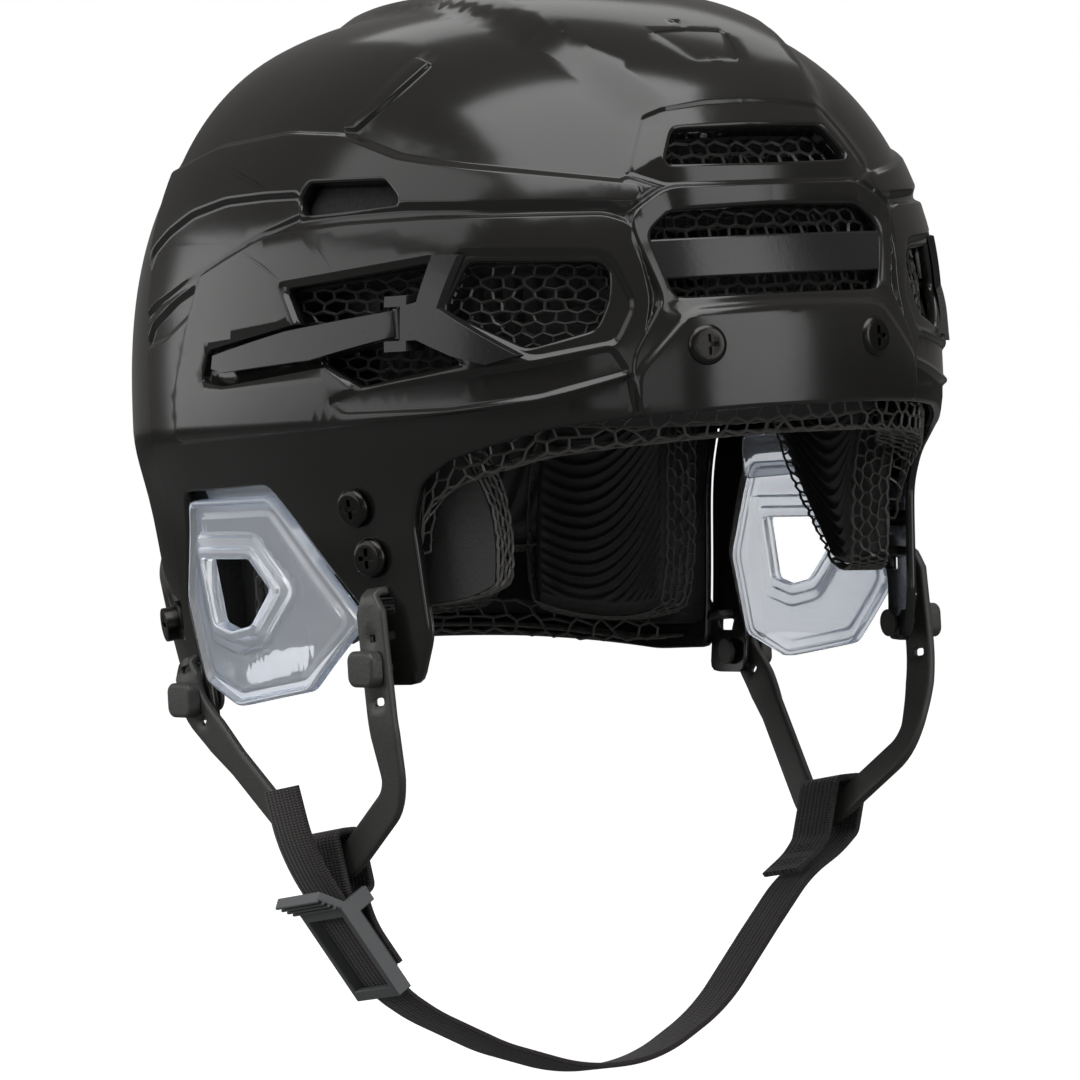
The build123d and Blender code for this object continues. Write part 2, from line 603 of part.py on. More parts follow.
def ear_guard():
    """Clear guard over the right ear: plate, rim, stepped frame and the flange under the shell."""
    outlines = (GUARD_SHARES, GUARD_HOLE_SHARES, GUARD_FLANGE_SHARES)
    prisms = [side_prism(side_outline(shares), -2.0 * HALF_WIDTH, 0.0) for shares in outlines]
    plate_prism, hole_prism, flange_prism = prisms
    flange_end = FLANGE_DEPTH + GUARD_FLANGE_THICKNESS
    guard = wall(GUARD_RECESS, GUARD_RECESS + GUARD_THICKNESS) & plate_prism
    guard += wall(FLANGE_DEPTH, flange_end) & flange_prism
    guard += wall(GUARD_RECESS, flange_end) & plate_prism & flange_prism
    inner = inset_prism(GUARD_SHARES, GUARD_RIM_WIDTH)
    guard += (wall(GUARD_RECESS - GUARD_RIM_RISE, GUARD_RECESS + GUARD_THICKNESS) & plate_prism) - inner
    frame = inset_prism(GUARD_HOLE_SHARES, -GUARD_RIM_WIDTH)
    guard += wall(GUARD_RECESS - GUARD_RIM_RISE, GUARD_RECESS + GUARD_THICKNESS) & frame
    guard -= hole_prism
    for shares in SIDE_SCREW_SHARES:
        guard -= screw_hole(side_plane(*shares))
    return guard


def inset_prism(shares, inset):
    """Prism of a side outline drawn in, or let out, by a margin."""
    plane = Plane(origin=(-2.0 * HALF_WIDTH, 0, 0), x_dir=(0, 1, 0), z_dir=(1, 0, 0))
    face = make_face(Polyline(*side_outline(shares), close=True))
    return extrude(plane * offset(face, -inset, kind=Kind.INTERSECTION), 2.0 * HALF_WIDTH)


def cross_recess(plane, top):
    """Cross-shaped drive recess below the top of a screw head."""
    low = top - SCREW_DRIVE_DEPTH
    slots = Box(SCREW_DRIVE_LENGTH, SCREW_DRIVE_WIDTH, SCREW_DRIVE_DEPTH)
    slots += Box(SCREW_DRIVE_WIDTH, SCREW_DRIVE_LENGTH, SCREW_DRIVE_DEPTH)
    return plane * Pos(0, 0, (low + top) / 2.0) * slots


def screw(plane, lift, grip):
    """Domed cross-head screw: the head seats at a lift above the skin, the shank ends past the grip."""
    head = Pos(0, 0, SCREW_HEAD_HEIGHT / 2.0) * Cylinder(SCREW_HEAD_RADIUS, SCREW_HEAD_HEIGHT)
    head = fillet(head.edges().group_by(Axis.Z)[-1], 0.7 * SCREW_HEAD_HEIGHT)
    head = plane * Pos(0, 0, lift + SCREW_SEAT_GAP) * head
    shank = bar(plane, SCREW_SHANK_RADIUS, -grip - T_NUT_FLANGE - T_NUT_BARREL_LENGTH, lift + SKIN_GAP)
    return head + shank - cross_recess(plane, lift + SCREW_SEAT_GAP + SCREW_HEAD_HEIGHT + SKIN_GAP)


def t_nut(plane, depth):
    """Flanged nut pressed against the inside of a wall at a depth below the skin."""
    nut = bar(plane, T_NUT_RADIUS, -depth - T_NUT_FLANGE, -depth)
    nut += bar(plane, T_NUT_BARREL_RADIUS, -depth - T_NUT_FLANGE - T_NUT_BARREL_LENGTH, -depth)
    return nut - bar(plane, SCREW_SHANK_RADIUS + TAB_PIN_GAP, -OVERRUN, OVERRUN)


def rear_screw(plane):
    """Pan-head screw and its washer on the rear shell."""
    seat = -REAR_OUTER_DEPTH + SKIN_GAP / 2.0
    top = seat + REAR_WASHER_THICKNESS + REAR_HEAD_HEIGHT
    piece = bar(plane, REAR_WASHER_RADIUS, seat, seat + REAR_WASHER_THICKNESS)
    piece += bar(plane, REAR_HEAD_RADIUS, seat, top)
    piece += bar(plane, SCREW_SHANK_RADIUS, -REAR_LINER_DEPTH - T_NUT_FLANGE - T_NUT_BARREL_LENGTH, seat)
    return piece - cross_recess(plane, top + SKIN_GAP)


def loop_height(share):
    """Height of a share of the ear loops' drop."""
    return level(LOOP_TOP_SHARE) - share * LOOP_DROP


def loop_route():
    """Side centreline of an ear loop, from the rear slot round the bend to the front slot."""
    points = [(along(y), loop_height(z)) for y, z in LOOP_SHARES]
    return FilletPolyline(*points, radius=[LOOP_REAR_RADIUS, LOOP_BEND_RADIUS, LOOP_CORNER_RADIUS])


def loop_bend_centre():
    """Centre of the bend at the bottom of the loops, as (y, z): the chin strap swings about it."""
    behind, bottom, ahead = [(along(y), loop_height(z)) for y, z in LOOP_SHARES[1:4]]
    legs = []
    for y, z in (behind, ahead):
        length = math.hypot(y - bottom[0], z - bottom[1])
        legs.append(((y - bottom[0]) / length, (z - bottom[1]) / length))
    half = math.acos(legs[0][0] * legs[1][0] + legs[0][1] * legs[1][1]) / 2.0
    way = (legs[0][0] + legs[1][0], legs[0][1] + legs[1][1])
    reach = LOOP_BEND_RADIUS / math.sin(half) / math.hypot(way[0], way[1])
    return bottom[0] + way[0] * reach, bottom[1] + way[1] * reach


def smooth_path(points, radius):
    """Line through points with each corner rounded as far as its neighbours, or its own limit, allow."""
    radii = []
    for before, corner, after in zip(points, points[1:], points[2:]):
        back = (before[0] - corner[0], before[1] - corner[1])
        on = (after[0] - corner[0], after[1] - corner[1])
        cross, dot = back[0] * on[1] - back[1] * on[0], back[0] * on[0] + back[1] * on[1]
        turn = math.pi - abs(math.atan2(cross, dot))
        room = 0.49 * min(math.hypot(*back), math.hypot(*on))
        radii.append(min(*corner[2:], radius, room / math.tan(turn / 2.0)))
    return FilletPolyline(*[point[:2] for point in points], radius=radii)


def hang_line(shares):
    """How far out a loop hangs, drawn as (half width, height)."""
    return smooth_path([(-HALF_WIDTH * x, loop_height(z)) for x, z in shares], LOOP_HANG_RADIUS)


def toe_in(piece):
    """A piece of the right loop turned in towards the front."""
    pivot = Pos(-HALF_WIDTH * LOOP_HANG_RIGHT_SHARES[0][0], LOOP_CENTRE_Y, 0)
    return pivot * Rot(0, 0, LOOP_TOE_IN) * pivot.inverse() * piece


def ear_loop(hang_shares):
    """Right ear loop: a flat band with hooked ends that reach through the shell."""
    side = Plane(origin=(-2.0 * HALF_WIDTH, 0, 0), x_dir=(0, 1, 0), z_dir=(1, 0, 0))
    band = extrude(side * trace(loop_route(), LOOP_WIDTH), 2.0 * HALF_WIDTH)
    front = Plane(origin=(0, 0, 0), x_dir=(1, 0, 0), z_dir=(0, -1, 0))
    sheet = extrude(front * trace(hang_line(hang_shares), LOOP_THICKNESS), HALF_WIDTH, both=True)
    loop = band & toe_in(sheet)
    for shares in LOOP_SLOT_SHARES:
        loop += hooked_end(*shares)
    for plane in button_planes():
        loop -= bar(plane, BUTTON_STEM_RADIUS + BUTTON_STEM_GAP, -OVERRUN, OVERRUN)
    return loop


def loop_out(y):
    """Distance from the middle of the helmet to the middle of the right loop's upper part."""
    straight = HALF_WIDTH * LOOP_HANG_RIGHT_SHARES[0][0]
    return straight + (y - LOOP_CENTRE_Y) * math.tan(math.radians(LOOP_TOE_IN))


def hooked_end(share_y, share_z):
    """Arm of the right loop through a slot, with the wide plate that holds it behind the shell."""
    y, z = along(share_y), level(share_z)
    inner = side_x(y, z, FRONT_WALL) - LOOP_HEAD_GAP
    outer = loop_out(y)
    arm = Box(outer - inner + LOOP_HEAD_PLATE, LOOP_HEAD_WIDTH, LOOP_HEAD_HEIGHT)
    arm = Pos(-(outer + inner - LOOP_HEAD_PLATE) / 2.0, y, z) * arm
    plate = Box(LOOP_HEAD_PLATE, LOOP_HEAD_WIDTH, LOOP_HEAD_LENGTH)
    return arm + Pos(-inner + LOOP_HEAD_PLATE / 2.0, y, z) * plate


def button_planes():
    """Planes on the right loop's outer face that the buttons stand on."""
    planes = []
    for share_y, share_z in BUTTON_SHARES:
        y, z = along(share_y), level(share_z)
        out = loop_out(y) + LOOP_THICKNESS / 2.0
        turn = math.radians(LOOP_TOE_IN)
        planes.append(Plane(origin=(-out, y, z), z_dir=(-math.cos(turn), -math.sin(turn), 0)))
    return planes


def button(plane):
    """Rounded square button with its stem through the loop and the shell, riveted inside."""
    y, z = plane.origin.Y, plane.origin.Z
    face = Plane(origin=plane.origin, x_dir=(0, 0, 1), z_dir=plane.z_dir)
    head = extrude(RectangleRounded(BUTTON_HEIGHT, BUTTON_WIDTH, BUTTON_CORNER), BUTTON_THICKNESS)
    head = fillet(head.faces().sort_by(Axis.Z)[-1].edges(), BUTTON_ROUND)
    deep = -plane.origin.X - side_x(y, z, FRONT_WALL) + BUTTON_RIVET_GAP
    stem = bar(plane, BUTTON_STEM_RADIUS, -deep - BUTTON_RIVET_HEIGHT, SKIN_GAP)
    rivet = bar(plane, BUTTON_RIVET_RADIUS, -deep - BUTTON_RIVET_HEIGHT, -deep)
    return face * Pos(0, 0, SKIN_GAP / 2.0) * head + stem + rivet


def strap_point(shares):
    """Point of the chin strap's plane, as (across the helmet, height)."""
    return HALF_WIDTH * shares[0], loop_bend_centre()[1] - shares[1] * STRAP_DROP


def hang(piece):
    """Stand a piece drawn in the XY plane upright under the loops' bend centre and tilt it forward."""
    y, z = loop_bend_centre()
    upright = Pos(0, y, 0) * Rot(90, 0, 0) * piece
    return Pos(0, y, z) * Rot(-STRAP_TILT, 0, 0) * Pos(0, -y, -z) * upright


def strap_band(points):
    """Webbing of the strap's width and thickness along a smooth line through points."""
    face = trace(smooth_path(points, STRAP_BEND_RADIUS), STRAP_THICKNESS)
    return hang(extrude(face, STRAP_WIDTH / 2.0, both=True))


def loop_x(hang_shares, height):
    """Middle of the right loop's band at a height, below the bend's centre."""
    line = hang_line(hang_shares)
    low, high = 0.0, 1.0
    for _ in range(BISECTIONS):
        middle = (low + high) / 2.0
        if (line @ middle).Y > height:
            low = middle
        else:
            high = middle
    return (line @ low).X + (LOOP_CENTRE_Y - loop_bend_centre()[0]) * math.tan(math.radians(LOOP_TOE_IN))


def wrap_points(hang_shares, side, hand):
    """Points of a webbing fold over a loop's band, leaning with the band, from its right to its left."""
    z = loop_bend_centre()[1]
    low, top = z - WRAP_BOTTOM, z - WRAP_TOP
    x_low, x_top = hand * loop_x(hang_shares, low), hand * loop_x(hang_shares, top)
    bend = WRAP_BEND_RADIUS
    out, across = (x_low - side, low, 2.0 * bend), (x_low + side, low, 2.0 * bend)
    return [out, (x_top - side, top, bend), (x_top + side, top, bend), across]


def buckle_frame():
    """Top of the buckle, unit vector down its rails and unit vector out of its face."""
    top, bottom = strap_point(BUCKLE_SHARES[0]), strap_point(BUCKLE_SHARES[1])
    length = math.hypot(bottom[0] - top[0], bottom[1] - top[1])
    down = ((bottom[0] - top[0]) / length, (bottom[1] - top[1]) / length)
    return top, down, (down[1], -down[0]), length


def buckle_point(along_rail, out):
    """Point at a distance down the buckle's rails and a distance out of its face."""
    top, down, face, _ = buckle_frame()
    return top[0] + along_rail * down[0] + out * face[0], top[1] + along_rail * down[1] + out * face[1]


def chin_webbing():
    """Long webbing: folded over the left loop, under the chin, through the buckle and up as the tail."""
    fold = wrap_points(LOOP_HANG_LEFT_SHARES, WRAP_SIDE_LEFT, -1.0)
    points = [strap_point(shares) for shares in reversed(FOLD_SHARES)] + fold
    points += [strap_point(shares) for shares in reversed(CHIN_SHARES + FAR_SHARES)]
    points += [buckle_point(buckle_frame()[3], 0.0), buckle_point(0.0, 0.0)]
    points += [strap_point(shares) for shares in TAIL_SHARES]
    return strap_band(points)


def buckle_webbing():
    """Short webbing: folded over the right loop, round the buckle's rod and down behind the buckle."""
    layer = STRAP_THICKNESS + LAYER_GAP
    spread = BUCKLE_ROD_RADIUS + LAYER_GAP + STRAP_THICKNESS / 2.0
    length = buckle_frame()[3] * SLEEVE_END_SHARE
    outer = [buckle_point(length, -layer), buckle_point(0.0, -layer)]
    inner = [buckle_point(0.0, rod_out() - spread)]
    inner += [buckle_point(share * length, -2.0 * layer) for share in (SLEEVE_BEND_SHARE, 1.0)]
    wrap = wrap_points(LOOP_HANG_RIGHT_SHARES, WRAP_SIDE_RIGHT, 1.0)
    return strap_band(outer + wrap + inner)


def rod_out():
    """Distance of the buckle's rod from the middle of the long webbing, out of the buckle's face."""
    return -1.5 * STRAP_THICKNESS - 2.0 * LAYER_GAP - BUCKLE_ROD_RADIUS


def buckle_prism(points, half_width):
    """Prism across the strap of an outline of (down the rails, out of the face) points."""
    outline = [buckle_point(*point) for point in points]
    return hang(extrude(make_face(Polyline(*outline, close=True)), half_width, both=True))


def chin_buckle():
    """Slider buckle: two rails, a rod, a toothed bar and a ribbed thumb tab, moulded in one."""
    inside = STRAP_WIDTH / 2.0 + LAYER_GAP
    outside = inside + BUCKLE_RAIL_THICKNESS
    low = STRAP_THICKNESS / 2.0 + LAYER_GAP
    high = low + BUCKLE_BAR_THICKNESS
    length, rod = buckle_frame()[3], rod_out()
    room = 2.0 * BUCKLE_ROD_RADIUS
    rail = [(-room, rod - room), (-room, high), (length, high), (length, -low), (room, -low)]
    rail += [(room, rod - room)]
    buckle = buckle_prism(rail, outside) - buckle_prism(rail, inside)
    end = BUCKLE_BAR_LENGTH - room
    buckle += buckle_prism([(-room, low), (-room, high), (end, high), (end, low)], outside)
    start = length - BUCKLE_BAR_LENGTH
    tooth = BUCKLE_BAR_LENGTH / 3.0
    teeth = [(start, high), (length, high), (length, low)]
    for step in (2.0, 1.0):
        teeth += [(start + step * tooth, low + BUCKLE_TOOTH_DEPTH), (start + step * tooth, low)]
    buckle += buckle_prism(teeth + [(start, low + BUCKLE_TOOTH_DEPTH)], outside)
    place = buckle_point(0.0, rod)
    buckle += hang(Pos(place[0], place[1], 0) * Cylinder(BUCKLE_ROD_RADIUS, 2.0 * outside))
    return buckle + thumb_tab(low, outside)


def thumb_tab(low, outside):
    """Tab that leans out from the buckle's top bar, with ribs across its outer face."""
    turn = math.radians(BUCKLE_TAB_ANGLE)
    way = (-math.sin(turn), math.cos(turn))
    face = (math.cos(turn), math.sin(turn))

    root = -2.0 * BUCKLE_ROD_RADIUS

    def place(reach, rise):
        return root + reach * way[0] + rise * face[0], low + reach * way[1] + rise * face[1]

    reach, thick = BUCKLE_TAB_LENGTH, BUCKLE_TAB_THICKNESS
    corners = ((0.0, 0.0), (reach, 0.0), (reach, thick), (0.0, thick))
    tab = buckle_prism([place(*corner) for corner in corners], outside)
    for rib in range(BUCKLE_RIB_COUNT):
        far = reach - rib * BUCKLE_RIB_PITCH
        near = far - BUCKLE_RIB_PITCH / 2.0
        top = thick + BUCKLE_RIB_HEIGHT
        tab += buckle_prism([place(near, 0.0), place(near, top), place(far, top), place(far, 0.0)], outside)
    return tab


def channels(plane, corners, length):
    """Curved channels across a cushion whose outline has these corners, cut along the plane's normal."""
    lows = [min(corner[axis] for corner in corners) for axis in (0, 1)]
    spans = [max(corner[axis] for corner in corners) - lows[axis] for axis in (0, 1)]
    cuts = []
    for shares in CHANNEL_SHARES:
        line = smooth_path([(lows[0] + a * spans[0], lows[1] + b * spans[1]) for a, b in shares], HALF_WIDTH)
        cuts.append(extrude(plane * trace(line, PAD_CHANNEL_WIDTH), length))
    return cuts


def cushion(depth, thickness, plane, corners, length, ball):
    """Crowned cushion on the inside of the shell: drawn-in sides, a round face and curved channels."""
    inner = depth + thickness
    outline = fillet(make_face(Polyline(*corners, close=True)).vertices(), PAD_CORNER)
    piece = wall(depth, inner) & extrude(plane * outline, length, taper=PAD_DRAW_ANGLE)
    if ball:
        piece &= ball
    face = wall(inner - PAD_CHANNEL_DEPTH, inner + SKIN_GAP)
    for cut in channels(plane, corners, length):
        piece -= face & cut
    return piece


def crown_ball(plane, depth, radius):
    """Ball that rounds a cushion's face, touching a depth below the skin."""
    return plane * Pos(0, 0, radius - depth) * Sphere(radius)


def side_cushion(depth, thickness, shares):
    """Cushion on the right side."""
    start = -HALF_WIDTH + depth / 2.0
    plane = Plane(origin=(start, 0, 0), x_dir=(0, 1, 0), z_dir=(1, 0, 0))
    ball = crown_ball(side_plane(*middle_share(shares)), depth + thickness, PAD_BALL_RADIUS)
    return cushion(depth, thickness, plane, side_outline(shares), HALF_WIDTH / 2.0, ball)


def middle_share(shares):
    """Middle of an outline of shares."""
    count = len(shares)
    return sum(share[0] for share in shares) / count, sum(share[1] for share in shares) / count


def front_pad():
    """Brow cushion wrapped round the forehead."""
    corners = mirrored_outline(FRONT_PAD_SHARES)
    plane = Plane(origin=(0, -FRONT_REACH, 0), x_dir=(-1, 0, 0), z_dir=(0, 1, 0))
    return cushion(FRONT_PAD_DEPTH, FRONT_PAD_THICKNESS, plane, corners, 0.45 * FRONT_REACH, None)


def rear_pad():
    """Right rear cushion."""
    corners = [(-HALF_WIDTH * x, level(z)) for x, z in REAR_PAD_SHARES]
    plane = Plane(origin=(0, REAR_REACH, 0), x_dir=(1, 0, 0), z_dir=(0, -1, 0))
    return cushion(REAR_PAD_DEPTH, REAR_PAD_THICKNESS, plane, corners, 0.65 * REAR_REACH, None)


def occipital_pad():
    """Cushion below the back of the head."""
    corners = mirrored_outline(OCCIPITAL_SHARES)
    plane = Plane(origin=(0, along(0.85), 0), x_dir=(1, 0, 0), z_dir=(0, -1, 0))
    return cushion(REAR_PAD_DEPTH, OCCIPITAL_PAD_THICKNESS, plane, corners, 0.35 * REAR_REACH, None)


def crown_pad():
    """Cushion on top of the head, whose lowest point is the origin's height."""
    half_x, half_y = HALF_WIDTH * CROWN_PAD_SHARES[0], FRONT_REACH * CROWN_PAD_SHARES[1]
    corners = [(-half_x, -half_y), (half_x, -half_y), (half_x, half_y), (-half_x, half_y)]
    plane = Plane(origin=(0, 0, CROWN_STACK), x_dir=(1, 0, 0), z_dir=(0, 0, -1))
    top = Plane(origin=(0, 0, CROWN_STACK), z_dir=(0, 0, 1))
    ball = crown_ball(top, CROWN_STACK, PAD_BALL_RADIUS)
    return cushion(FRONT_PAD_DEPTH, CROWN_PAD_THICKNESS + PAD_CROWN, plane, corners, 2.0 * CROWN_STACK, ball)


def right_pieces():
    """Pieces on the right that have a mirror image on the left, each in its own node."""
    return {
        "size_rack": size_rack(),
        "lock_tab": lock_tab(),
        "tab_bracket": tab_bracket(),
        "ear_guard": ear_guard(),
        "side_pad": side_cushion(FRONT_PAD_DEPTH, SIDE_PAD_THICKNESS, SIDE_PAD_SHARES),
        "temple_pad": side_cushion(TEMPLE_PAD_DEPTH, TEMPLE_PAD_THICKNESS, TEMPLE_PAD_SHARES),
        "rear_pad": rear_pad(),
    }


def fasteners():
    """Right-hand fasteners; each kind is one node with its mirror images."""
    front, rear = front_plane(*FRONT_SCREW_SHARES), side_plane(*REAR_SCREW_SHARES)
    sides = [side_plane(*shares) for shares in SIDE_SCREW_SHARES]
    return {
        "tab_pins": [tab_pin()],
        "strap_buttons": [button(plane) for plane in button_planes()],
        "side_screws": [screw(plane, SIDE_SCREW_LIFT, T_NUT_SIDE_DEPTH) for plane in sides],
        "side_t_nuts": [t_nut(plane, T_NUT_SIDE_DEPTH) for plane in sides],
        "front_screws": [screw(front, PANEL_RISE, FRONT_LINER_DEPTH)],
        "front_t_nuts": [t_nut(front, FRONT_LINER_DEPTH)],
        "rear_screws": [rear_screw(rear)],
        "rear_t_nuts": [t_nut(rear, REAR_LINER_DEPTH)],
    }


def middle_pieces():
    """Pieces that run across both sides, and the two ear loops, which hang differently."""
    return {
        "front_shell": front_shell(),
        "rear_shell": rear_shell(),
        "front_plate": front_plate(),
        "front_liner": front_liner(),
        "rear_liner": rear_liner(),
        "front_pad": front_pad(),
        "crown_pad": crown_pad(),
        "occipital_pad": occipital_pad(),
        "ear_loop_right": ear_loop(LOOP_HANG_RIGHT_SHARES),
        "ear_loop_left": mirror(ear_loop(LOOP_HANG_LEFT_SHARES), about=Plane.YZ),
        "chin_webbing": chin_webbing(),
        "buckle_webbing": buckle_webbing(),
        "chin_buckle": chin_buckle(),
    }


def export_all():
    """Write one STEP file for each node."""
    for name, piece in right_pieces().items():
        export_step(piece, f"parts/{name}_right.step")
        export_step(mirror(piece, about=Plane.YZ), f"parts/{name}_left.step")
    for name, pieces in fasteners().items():
        pieces += [mirror(piece, about=Plane.YZ) for piece in pieces]
        export_step(Compound(children=pieces), f"parts/{name}.step")
    for name, piece in middle_pieces().items():
        export_step(piece, f"parts/{name}.step")


export_all()
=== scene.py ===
import json
import math

import bmesh
import bpy
import numpy as np
from bpy.props import FloatVectorProperty, PointerProperty
from bpy.types import Operator, Panel, PropertyGroup
from mathutils import Matrix, Vector, kdtree
from mathutils.geometry import delaunay_2d_cdt

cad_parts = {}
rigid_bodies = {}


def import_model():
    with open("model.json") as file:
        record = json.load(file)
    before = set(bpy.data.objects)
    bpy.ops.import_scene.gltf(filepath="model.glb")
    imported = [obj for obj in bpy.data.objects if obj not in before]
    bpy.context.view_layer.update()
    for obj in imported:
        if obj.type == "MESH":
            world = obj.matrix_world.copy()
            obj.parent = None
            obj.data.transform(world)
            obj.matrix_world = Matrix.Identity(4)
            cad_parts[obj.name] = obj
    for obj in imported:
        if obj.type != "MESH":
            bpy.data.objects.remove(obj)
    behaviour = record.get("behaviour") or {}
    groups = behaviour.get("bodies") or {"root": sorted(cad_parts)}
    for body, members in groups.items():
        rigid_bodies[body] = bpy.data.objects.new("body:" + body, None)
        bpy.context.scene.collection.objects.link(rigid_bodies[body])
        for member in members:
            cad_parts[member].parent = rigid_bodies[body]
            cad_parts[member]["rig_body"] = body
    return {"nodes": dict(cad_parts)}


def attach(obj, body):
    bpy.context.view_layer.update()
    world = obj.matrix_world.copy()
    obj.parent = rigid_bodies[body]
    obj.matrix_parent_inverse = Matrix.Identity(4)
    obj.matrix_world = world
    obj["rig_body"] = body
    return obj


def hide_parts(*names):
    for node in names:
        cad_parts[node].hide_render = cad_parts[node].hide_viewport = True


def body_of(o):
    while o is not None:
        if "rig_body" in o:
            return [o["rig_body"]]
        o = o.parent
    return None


bl_info = {
    "name": "Ice Hockey Helmet",
    "version": (1, 0, 0),
    "blender": (4, 5, 0),
    "location": "View3D > Sidebar > Helmet",
    "description": "Dresses the packed ice hockey helmet with surfaces, lattices and materials",
    "category": "Add Mesh",
}

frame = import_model()

# All shapes are worked out in millimetres and stored in metres.
MM = 0.001

# The moulded skin, as the CAD source has it
HALF_WIDTH = 104.0
FRONT_REACH = 148.0
REAR_REACH = 128.5
CROWN_RISE = 119.5
SKIRT_DEPTH = 80.0
CENTRE_Y = 4.8
CROWN_LEAN = 4.2
PLAN_POWER = 2.36
PROFILE_POWER = 2.6
SIDE_TUCK = 0.05
TUCK_DEPTH = 18.0
SIDE_TAPER = 0.026
REAR_TAPER = 0.23
BELT_Z = -92.3
SEAM_Y = 40.0
REAR_SEAM_Y = SEAM_Y + 0.4
LINER_END_Y = 22.0
CENTRE = np.array((0.0, CENTRE_Y, BELT_Z))
MAP_SCALE = 100.0

# The photographer's camera: azimuth, elevation and pitch in degrees, distance and shift in millimetres
PHOTO_AZIMUTH = -32.0
PHOTO_ELEVATION = 6.9
PHOTO_PITCH = 6.0
PHOTO_DISTANCE = 1517.0
PHOTO_FOCUS = 5159.0
PHOTO_SIZE = 1080.0
PHOTO_SHIFT = np.array((0.0, 8.0, 131.0))

# Spacing of the points that surfaces are worked out on
LINE_PITCH = 2.2
FILL_PITCH = 3.4

# A relief whose slope is narrower than this is a smooth step, and its rings stay this near its outline
CRISP_SLOPE = 4.0
FARTHEST_RING = 7.0

# Smallest triangle that counts, and the thinnest wall under a sunk relief
LEAST_AREA = 1e-7
LEAST_WALL = 0.8

# Corners of a net's six-sided cell, as shares of its width and height
HEXAGON = np.array(((0, 0.5), (0.5, 0.25), (0.5, -0.25), (0, -0.5), (-0.5, -0.25), (-0.5, 0.25)))


# ---- vectors and lines ----


def unit(vectors):
    """Vectors of the same ways with length 1."""
    return vectors / np.linalg.norm(vectors, axis=1)[:, None]


def lengths_along(line):
    """Distance of each point of a line from its first point, along the line."""
    return np.concatenate(([0.0], np.cumsum(np.linalg.norm(np.diff(line, axis=0), axis=1))))


def read_at(spots, lengths, table):
    """Rows of a table at distances along the line that it belongs to."""
    return np.column_stack([np.interp(spots, lengths, table[:, axis]) for axis in range(table.shape[1])])


def grown(places, margin):
    """Corners moved out from their middle by a margin."""
    places = np.array(places, float)
    return places + unit(places - places.mean(0)) * margin


# ---- the skin as a function ----

def measure(points, depth):
    """Below 1 inside the skin at a depth and above 1 outside: (|x/width|^p + |y/reach|^p)^(q/p) + rise^q."""
    x, y, z = np.abs(points[..., 0]), points[..., 1], points[..., 2]
    up = np.maximum(z - BELT_Z, 0.0)
    drop = np.clip(BELT_Z - z, 0.0, 1.3 * SKIRT_DEPTH)
    off = y - CENTRE_Y + CROWN_LEAN * up / CROWN_RISE
    fall = (drop / SKIRT_DEPTH) ** 2
    side = 1.0 - SIDE_TUCK * (1.0 - np.exp(-((drop / TUCK_DEPTH) ** 2))) - SIDE_TAPER * fall
    rear = 1.0 - REAR_TAPER * fall
    reach = np.where(off < 0.0, (FRONT_REACH - depth) * side, (REAR_REACH - depth) * rear)
    plan = (x / ((HALF_WIDTH - depth) * side)) ** PLAN_POWER + (np.abs(off) / reach) ** PLAN_POWER
    return plan ** (PROFILE_POWER / PLAN_POWER) + (up / (CROWN_RISE - depth)) ** PROFILE_POWER


def outward(points, depth):
    """Unit normals of the skin: the slope of its measure, from central differences."""
    step = 0.2
    slope = np.empty_like(points)
    for axis in range(3):
        shift = np.zeros(3)
        shift[axis] = step
        slope[:, axis] = measure(points + shift, depth) - measure(points - shift, depth)
    return unit(slope)


def cast(origins, ways, low, high, depth, steps):
    """Where rays first cross the skin: march in equal steps, then halve the step that holds the crossing."""
    reach = np.linspace(low, high, steps)
    outside = measure(origins[:, None] + ways[:, None] * reach[None, :, None], depth) > 1.0
    change = outside != outside[:, :1]
    first = np.maximum(change.argmax(axis=1), 1)
    near, far = reach[first - 1].copy(), reach[first].copy()
    start = outside[:, 0]
    for _ in range(26):
        middle = (near + far) / 2.0
        same = (measure(origins + ways * middle[:, None], depth) > 1.0) == start
        near, far = np.where(same, middle, near), np.where(same, far, middle)
    return origins + ways * near[:, None]


def to_map(points):
    """Round map of the skin: distance from the middle is the angle from straight up, seen from the centre."""
    away = points - CENTRE
    flat = np.hypot(away[:, 0], away[:, 1])
    angle = np.arctan2(flat, away[:, 2])
    return away[:, :2] * (MAP_SCALE * angle / np.maximum(flat, 1e-9))[:, None]


def from_map(places, depth):
    """Points of the skin at places of the round map."""
    angle = np.hypot(places[:, 0], places[:, 1]) / MAP_SCALE
    share = np.sin(angle) / np.maximum(angle * MAP_SCALE, 1e-9)
    ways = np.column_stack((places * share[:, None], np.cos(angle)))
    origins = np.repeat(CENTRE[None], len(places), axis=0)
    return cast(origins, ways, 20.0, 290.0, depth, 2)


def camera_axes():
    """Place, right, up and back of the photographer's camera in the helmet's frame."""
    turn, lift, pitch = map(math.radians, (PHOTO_AZIMUTH, PHOTO_ELEVATION, PHOTO_PITCH))
    back = np.array((math.sin(turn) * math.cos(lift), -math.cos(turn) * math.cos(lift), math.sin(lift)))
    right = np.array((math.cos(turn), math.sin(turn), 0.0))
    up = np.cross(back, right)
    cosine, sine = math.cos(pitch), math.sin(pitch)
    tilt = np.array(((1, 0, 0), (0, cosine, sine), (0, -sine, cosine)))
    place = tilt.T @ (back * PHOTO_DISTANCE) - PHOTO_SHIFT
    return place, tilt.T @ right, tilt.T @ up, tilt.T @ back


